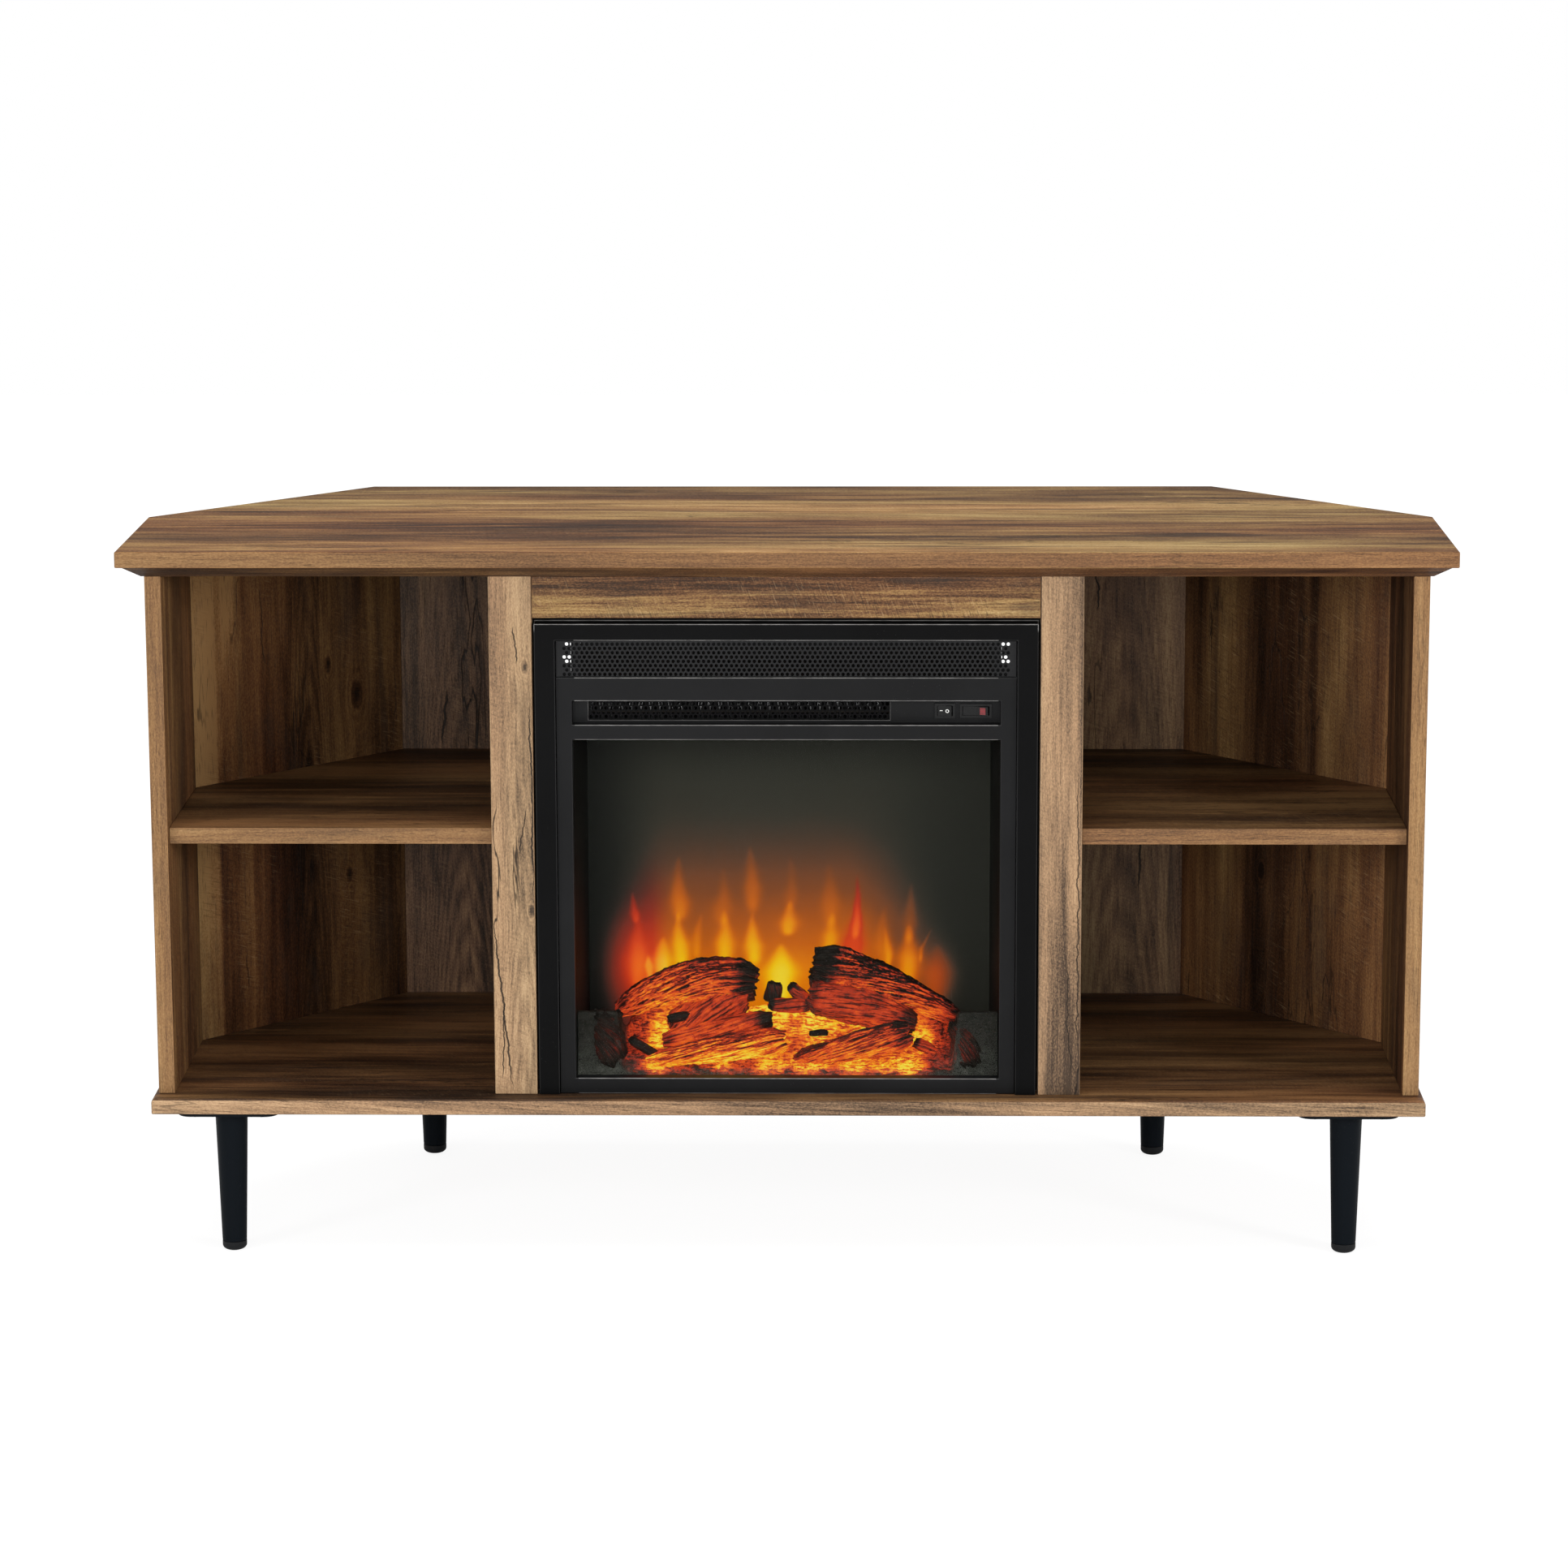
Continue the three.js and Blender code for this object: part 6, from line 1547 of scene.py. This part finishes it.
def build_stage(settings):
    """Floor, lamps, white surroundings and the camera."""
    scene = bpy.context.scene
    size = 6.0
    corners = [(-size, -size), (size, -size), (size, size), (-size, size)]
    mesh = bpy.data.meshes.new("floor")
    mesh.from_pydata([(x, y, 0.0) for x, y in corners], [], [(0, 1, 2, 3)])
    mesh.materials.append(look("floor_white"))
    floor = bpy.data.objects.new("floor", mesh)
    scene.collection.objects.link(floor)
    lamps = (
        ("left_lamp", (-3.1, -3.0, 1.5), (0, 0, 0.4), settings.left_power, 0.9, 0.9),
        ("right_lamp", (3.6, -2.6, 1.5), (0, 0, 0.4), settings.right_power, 0.8, 0.8),
        ("front_lamp", (-0.4, -4.6, 1.5), (0, 0, 0.4), settings.front_power, 2.4, 1.4),
        ("top_lamp", (0.0, -0.3, 3.2), (0, 0, 0.6), settings.top_power, 3.0, 2.0),
    )
    for name, place, target, power, width, height in lamps:
        data = bpy.data.lights.new(name, "AREA")
        data.shape = "RECTANGLE"
        data.size, data.size_y, data.energy = width, height, power
        lamp = bpy.data.objects.new(name, data)
        scene.collection.objects.link(lamp)
        aim(lamp, place, target)
    scene.world = bpy.data.worlds.new("studio")
    f = Finish(scene.world)
    seen = f.add("ShaderNodeBackground", None, {"Color": WHITE})
    around = f.add("ShaderNodeBackground", None, {"Color": WHITE, "Strength": settings.world_strength})
    path = f.add("ShaderNodeLightPath", output="Is Camera Ray")
    f.end([path, around, seen], "ShaderNodeOutputWorld")
    build_camera()
    scene.view_settings.view_transform = "Standard"


def build_camera():
    """The camera where the picture's perspective puts it: in front, slightly to the right and above."""
    yaw, pitch, roll = -0.0179, 0.1875, -0.003
    s, c = math.sin(yaw), math.cos(yaw)
    ahead = np.array([s * math.cos(pitch), c * math.cos(pitch), -math.sin(pitch)])
    right = np.array([c, -s, 0.0])
    up = np.cross(right, ahead)
    turned_right = math.cos(roll) * right + math.sin(roll) * up
    turned_up = math.cos(roll) * up - math.sin(roll) * right
    data = bpy.data.cameras.new("camera")
    data.sensor_width = 36.0
    data.lens = 105.44
    data.shift_y = -0.08
    data.clip_end = 100.0
    camera = bpy.data.objects.new("camera", data)
    bpy.context.scene.collection.objects.link(camera)
    matrix = np.eye(4)
    matrix[:3, :3] = np.stack([turned_right, turned_up, -ahead], 1)
    matrix[:3, 3] = np.array([72.0, -4300.8, 1350.3]) * MM
    camera.matrix_world = Matrix(matrix.tolist())
    bpy.context.scene.camera = camera


# Add-on


class StandFinishes(bpy.types.PropertyGroup):
    """Colours of the painted steel, depth of the grain and strength of the fire."""

    sheet_colour: bpy.props.FloatVectorProperty(
        name="Steel colour", description="Paint on the insert's steel parts", subtype="COLOR", size=4,
        min=0.0, max=1.0, default=linear("131314"),
    )
    leg_colour: bpy.props.FloatVectorProperty(
        name="Leg colour", description="Paint on the legs and their plates", subtype="COLOR", size=4,
        min=0.0, max=1.0, default=linear("0a0f14"),
    )
    edge_rounding: bpy.props.FloatProperty(
        name="Top edge", description="Radius of the arris along the top's upper edge", subtype="DISTANCE",
        unit="LENGTH", min=0.0003, max=0.003, default=0.001,
    )
    grain_depth: bpy.props.FloatProperty(
        name="Grain depth", description="How far the oak's grain stands out", subtype="DISTANCE",
        unit="LENGTH", min=0.0, max=0.002, default=0.00035,
    )
    ember_strength: bpy.props.FloatProperty(
        name="Ember light", description="Brightness of the glowing logs and embers", min=0.0, default=1.05,
    )
    flame_strength: bpy.props.FloatProperty(
        name="Flame light", description="Brightness of the flame screen", min=0.0, default=1.0,
    )


class StandStudio(bpy.types.PropertyGroup):
    """Strength of the lamps and of the light all round."""

    left_power: bpy.props.FloatProperty(
        name="Left lamp", description="Power of the lamp in front on the left", subtype="POWER", unit="POWER",
        min=0.0, default=53.0,
    )
    right_power: bpy.props.FloatProperty(
        name="Right lamp", description="Power of the lamp in front on the right", subtype="POWER",
        unit="POWER", min=0.0, default=80.0,
    )
    front_power: bpy.props.FloatProperty(
        name="Front lamp", description="Power of the wide lamp behind the camera", subtype="POWER",
        unit="POWER", min=0.0, default=64.0,
    )
    top_power: bpy.props.FloatProperty(
        name="Top lamp", description="Power of the lamp overhead", subtype="POWER", unit="POWER",
        min=0.0, default=74.0,
    )
    world_strength: bpy.props.FloatProperty(
        name="Surroundings", description="Strength of the even light from all sides", min=0.0, default=0.5,
    )


class STAND_OT_flat_boards(bpy.types.Operator):
    """Builds the top, its moulding, the bottom panel and the shelves"""

    bl_idname = "stand.flat_boards"
    bl_label = "Top, bottom and shelves"

    def execute(self, context):
        build_flat_boards(context.scene.stand_finishes.edge_rounding / MM)
        return {"FINISHED"}


class STAND_OT_upright_boards(bpy.types.Operator):
    """Builds the sides, backs, dividers, stiles and rails"""

    bl_idname = "stand.upright_boards"
    bl_label = "Upright boards"

    def execute(self, context):
        build_upright_boards()
        return {"FINISHED"}


class STAND_OT_legs(bpy.types.Operator):
    """Builds the legs, their feet, plates and screws"""

    bl_idname = "stand.legs"
    bl_label = "Legs"

    def execute(self, context):
        build_legs()
        return {"FINISHED"}


class STAND_OT_steel_front(bpy.types.Operator):
    """Builds the trim, bezel, fascia, casing and brackets"""

    bl_idname = "stand.steel_front"
    bl_label = "Steel front and casing"

    def execute(self, context):
        build_steel_front()
        return {"FINISHED"}


class STAND_OT_grilles(bpy.types.Operator):
    """Builds the two punched grilles"""

    bl_idname = "stand.grilles"
    bl_label = "Grilles"

    def execute(self, context):
        build_grilles()
        return {"FINISHED"}


class STAND_OT_window(bpy.types.Operator):
    """Builds the glass pane"""

    bl_idname = "stand.window"
    bl_label = "Window"

    def execute(self, context):
        build_window()
        return {"FINISHED"}


class STAND_OT_switches(bpy.types.Operator):
    """Builds the two rocker switches"""

    bl_idname = "stand.switches"
    bl_label = "Switches"

    def execute(self, context):
        build_switches()
        return {"FINISHED"}


class STAND_OT_fire(bpy.types.Operator):
    """Builds the logs, the ember bed and the flame screen"""

    bl_idname = "stand.fire"
    bl_label = "Log fire"

    def execute(self, context):
        build_logs()
        build_ember_bed()
        build_flame_screen()
        return {"FINISHED"}


class STAND_OT_heater(bpy.types.Operator):
    """Builds the heating element and finishes the inner parts"""

    bl_idname = "stand.heater"
    bl_label = "Heater and inner parts"

    def execute(self, context):
        build_heating_element()
        finish_inner_parts()
        return {"FINISHED"}


class STAND_OT_stage(bpy.types.Operator):
    """Builds the floor, the lamps and the camera"""

    bl_idname = "stand.stage"
    bl_label = "Studio"

    def execute(self, context):
        build_stage(context.scene.stand_studio)
        return {"FINISHED"}


OPERATORS = (
    STAND_OT_flat_boards, STAND_OT_upright_boards, STAND_OT_legs, STAND_OT_steel_front, STAND_OT_grilles,
    STAND_OT_window, STAND_OT_switches, STAND_OT_fire, STAND_OT_heater, STAND_OT_stage,
)


class STAND_PT_panel(bpy.types.Panel):
    """Lists the settings and the pieces of the stand"""

    bl_label = "TV Stand"
    bl_idname = "STAND_PT_panel"
    bl_space_type = "VIEW_3D"
    bl_region_type = "UI"
    bl_category = "TV Stand"

    def draw(self, context):
        layout = self.layout
        for group in (context.scene.stand_finishes, context.scene.stand_studio):
            box = layout.box()
            for key in group.__annotations__:
                box.prop(group, key)
        for operator in OPERATORS:
            layout.operator(operator.bl_idname)


CLASSES = (StandFinishes, StandStudio, *OPERATORS, STAND_PT_panel)


def register():
    for cls in CLASSES:
        bpy.utils.register_class(cls)
    bpy.types.Scene.stand_finishes = bpy.props.PointerProperty(type=StandFinishes)
    bpy.types.Scene.stand_studio = bpy.props.PointerProperty(type=StandStudio)


def unregister():
    del bpy.types.Scene.stand_studio
    del bpy.types.Scene.stand_finishes
    for cls in reversed(CLASSES):
        bpy.utils.unregister_class(cls)


def main():
    """Builds everything in order."""
    register()
    for operator in OPERATORS:
        group, name = operator.bl_idname.split(".")
        getattr(getattr(bpy.ops, group), name)()


if __name__ == "__main__":
    main()
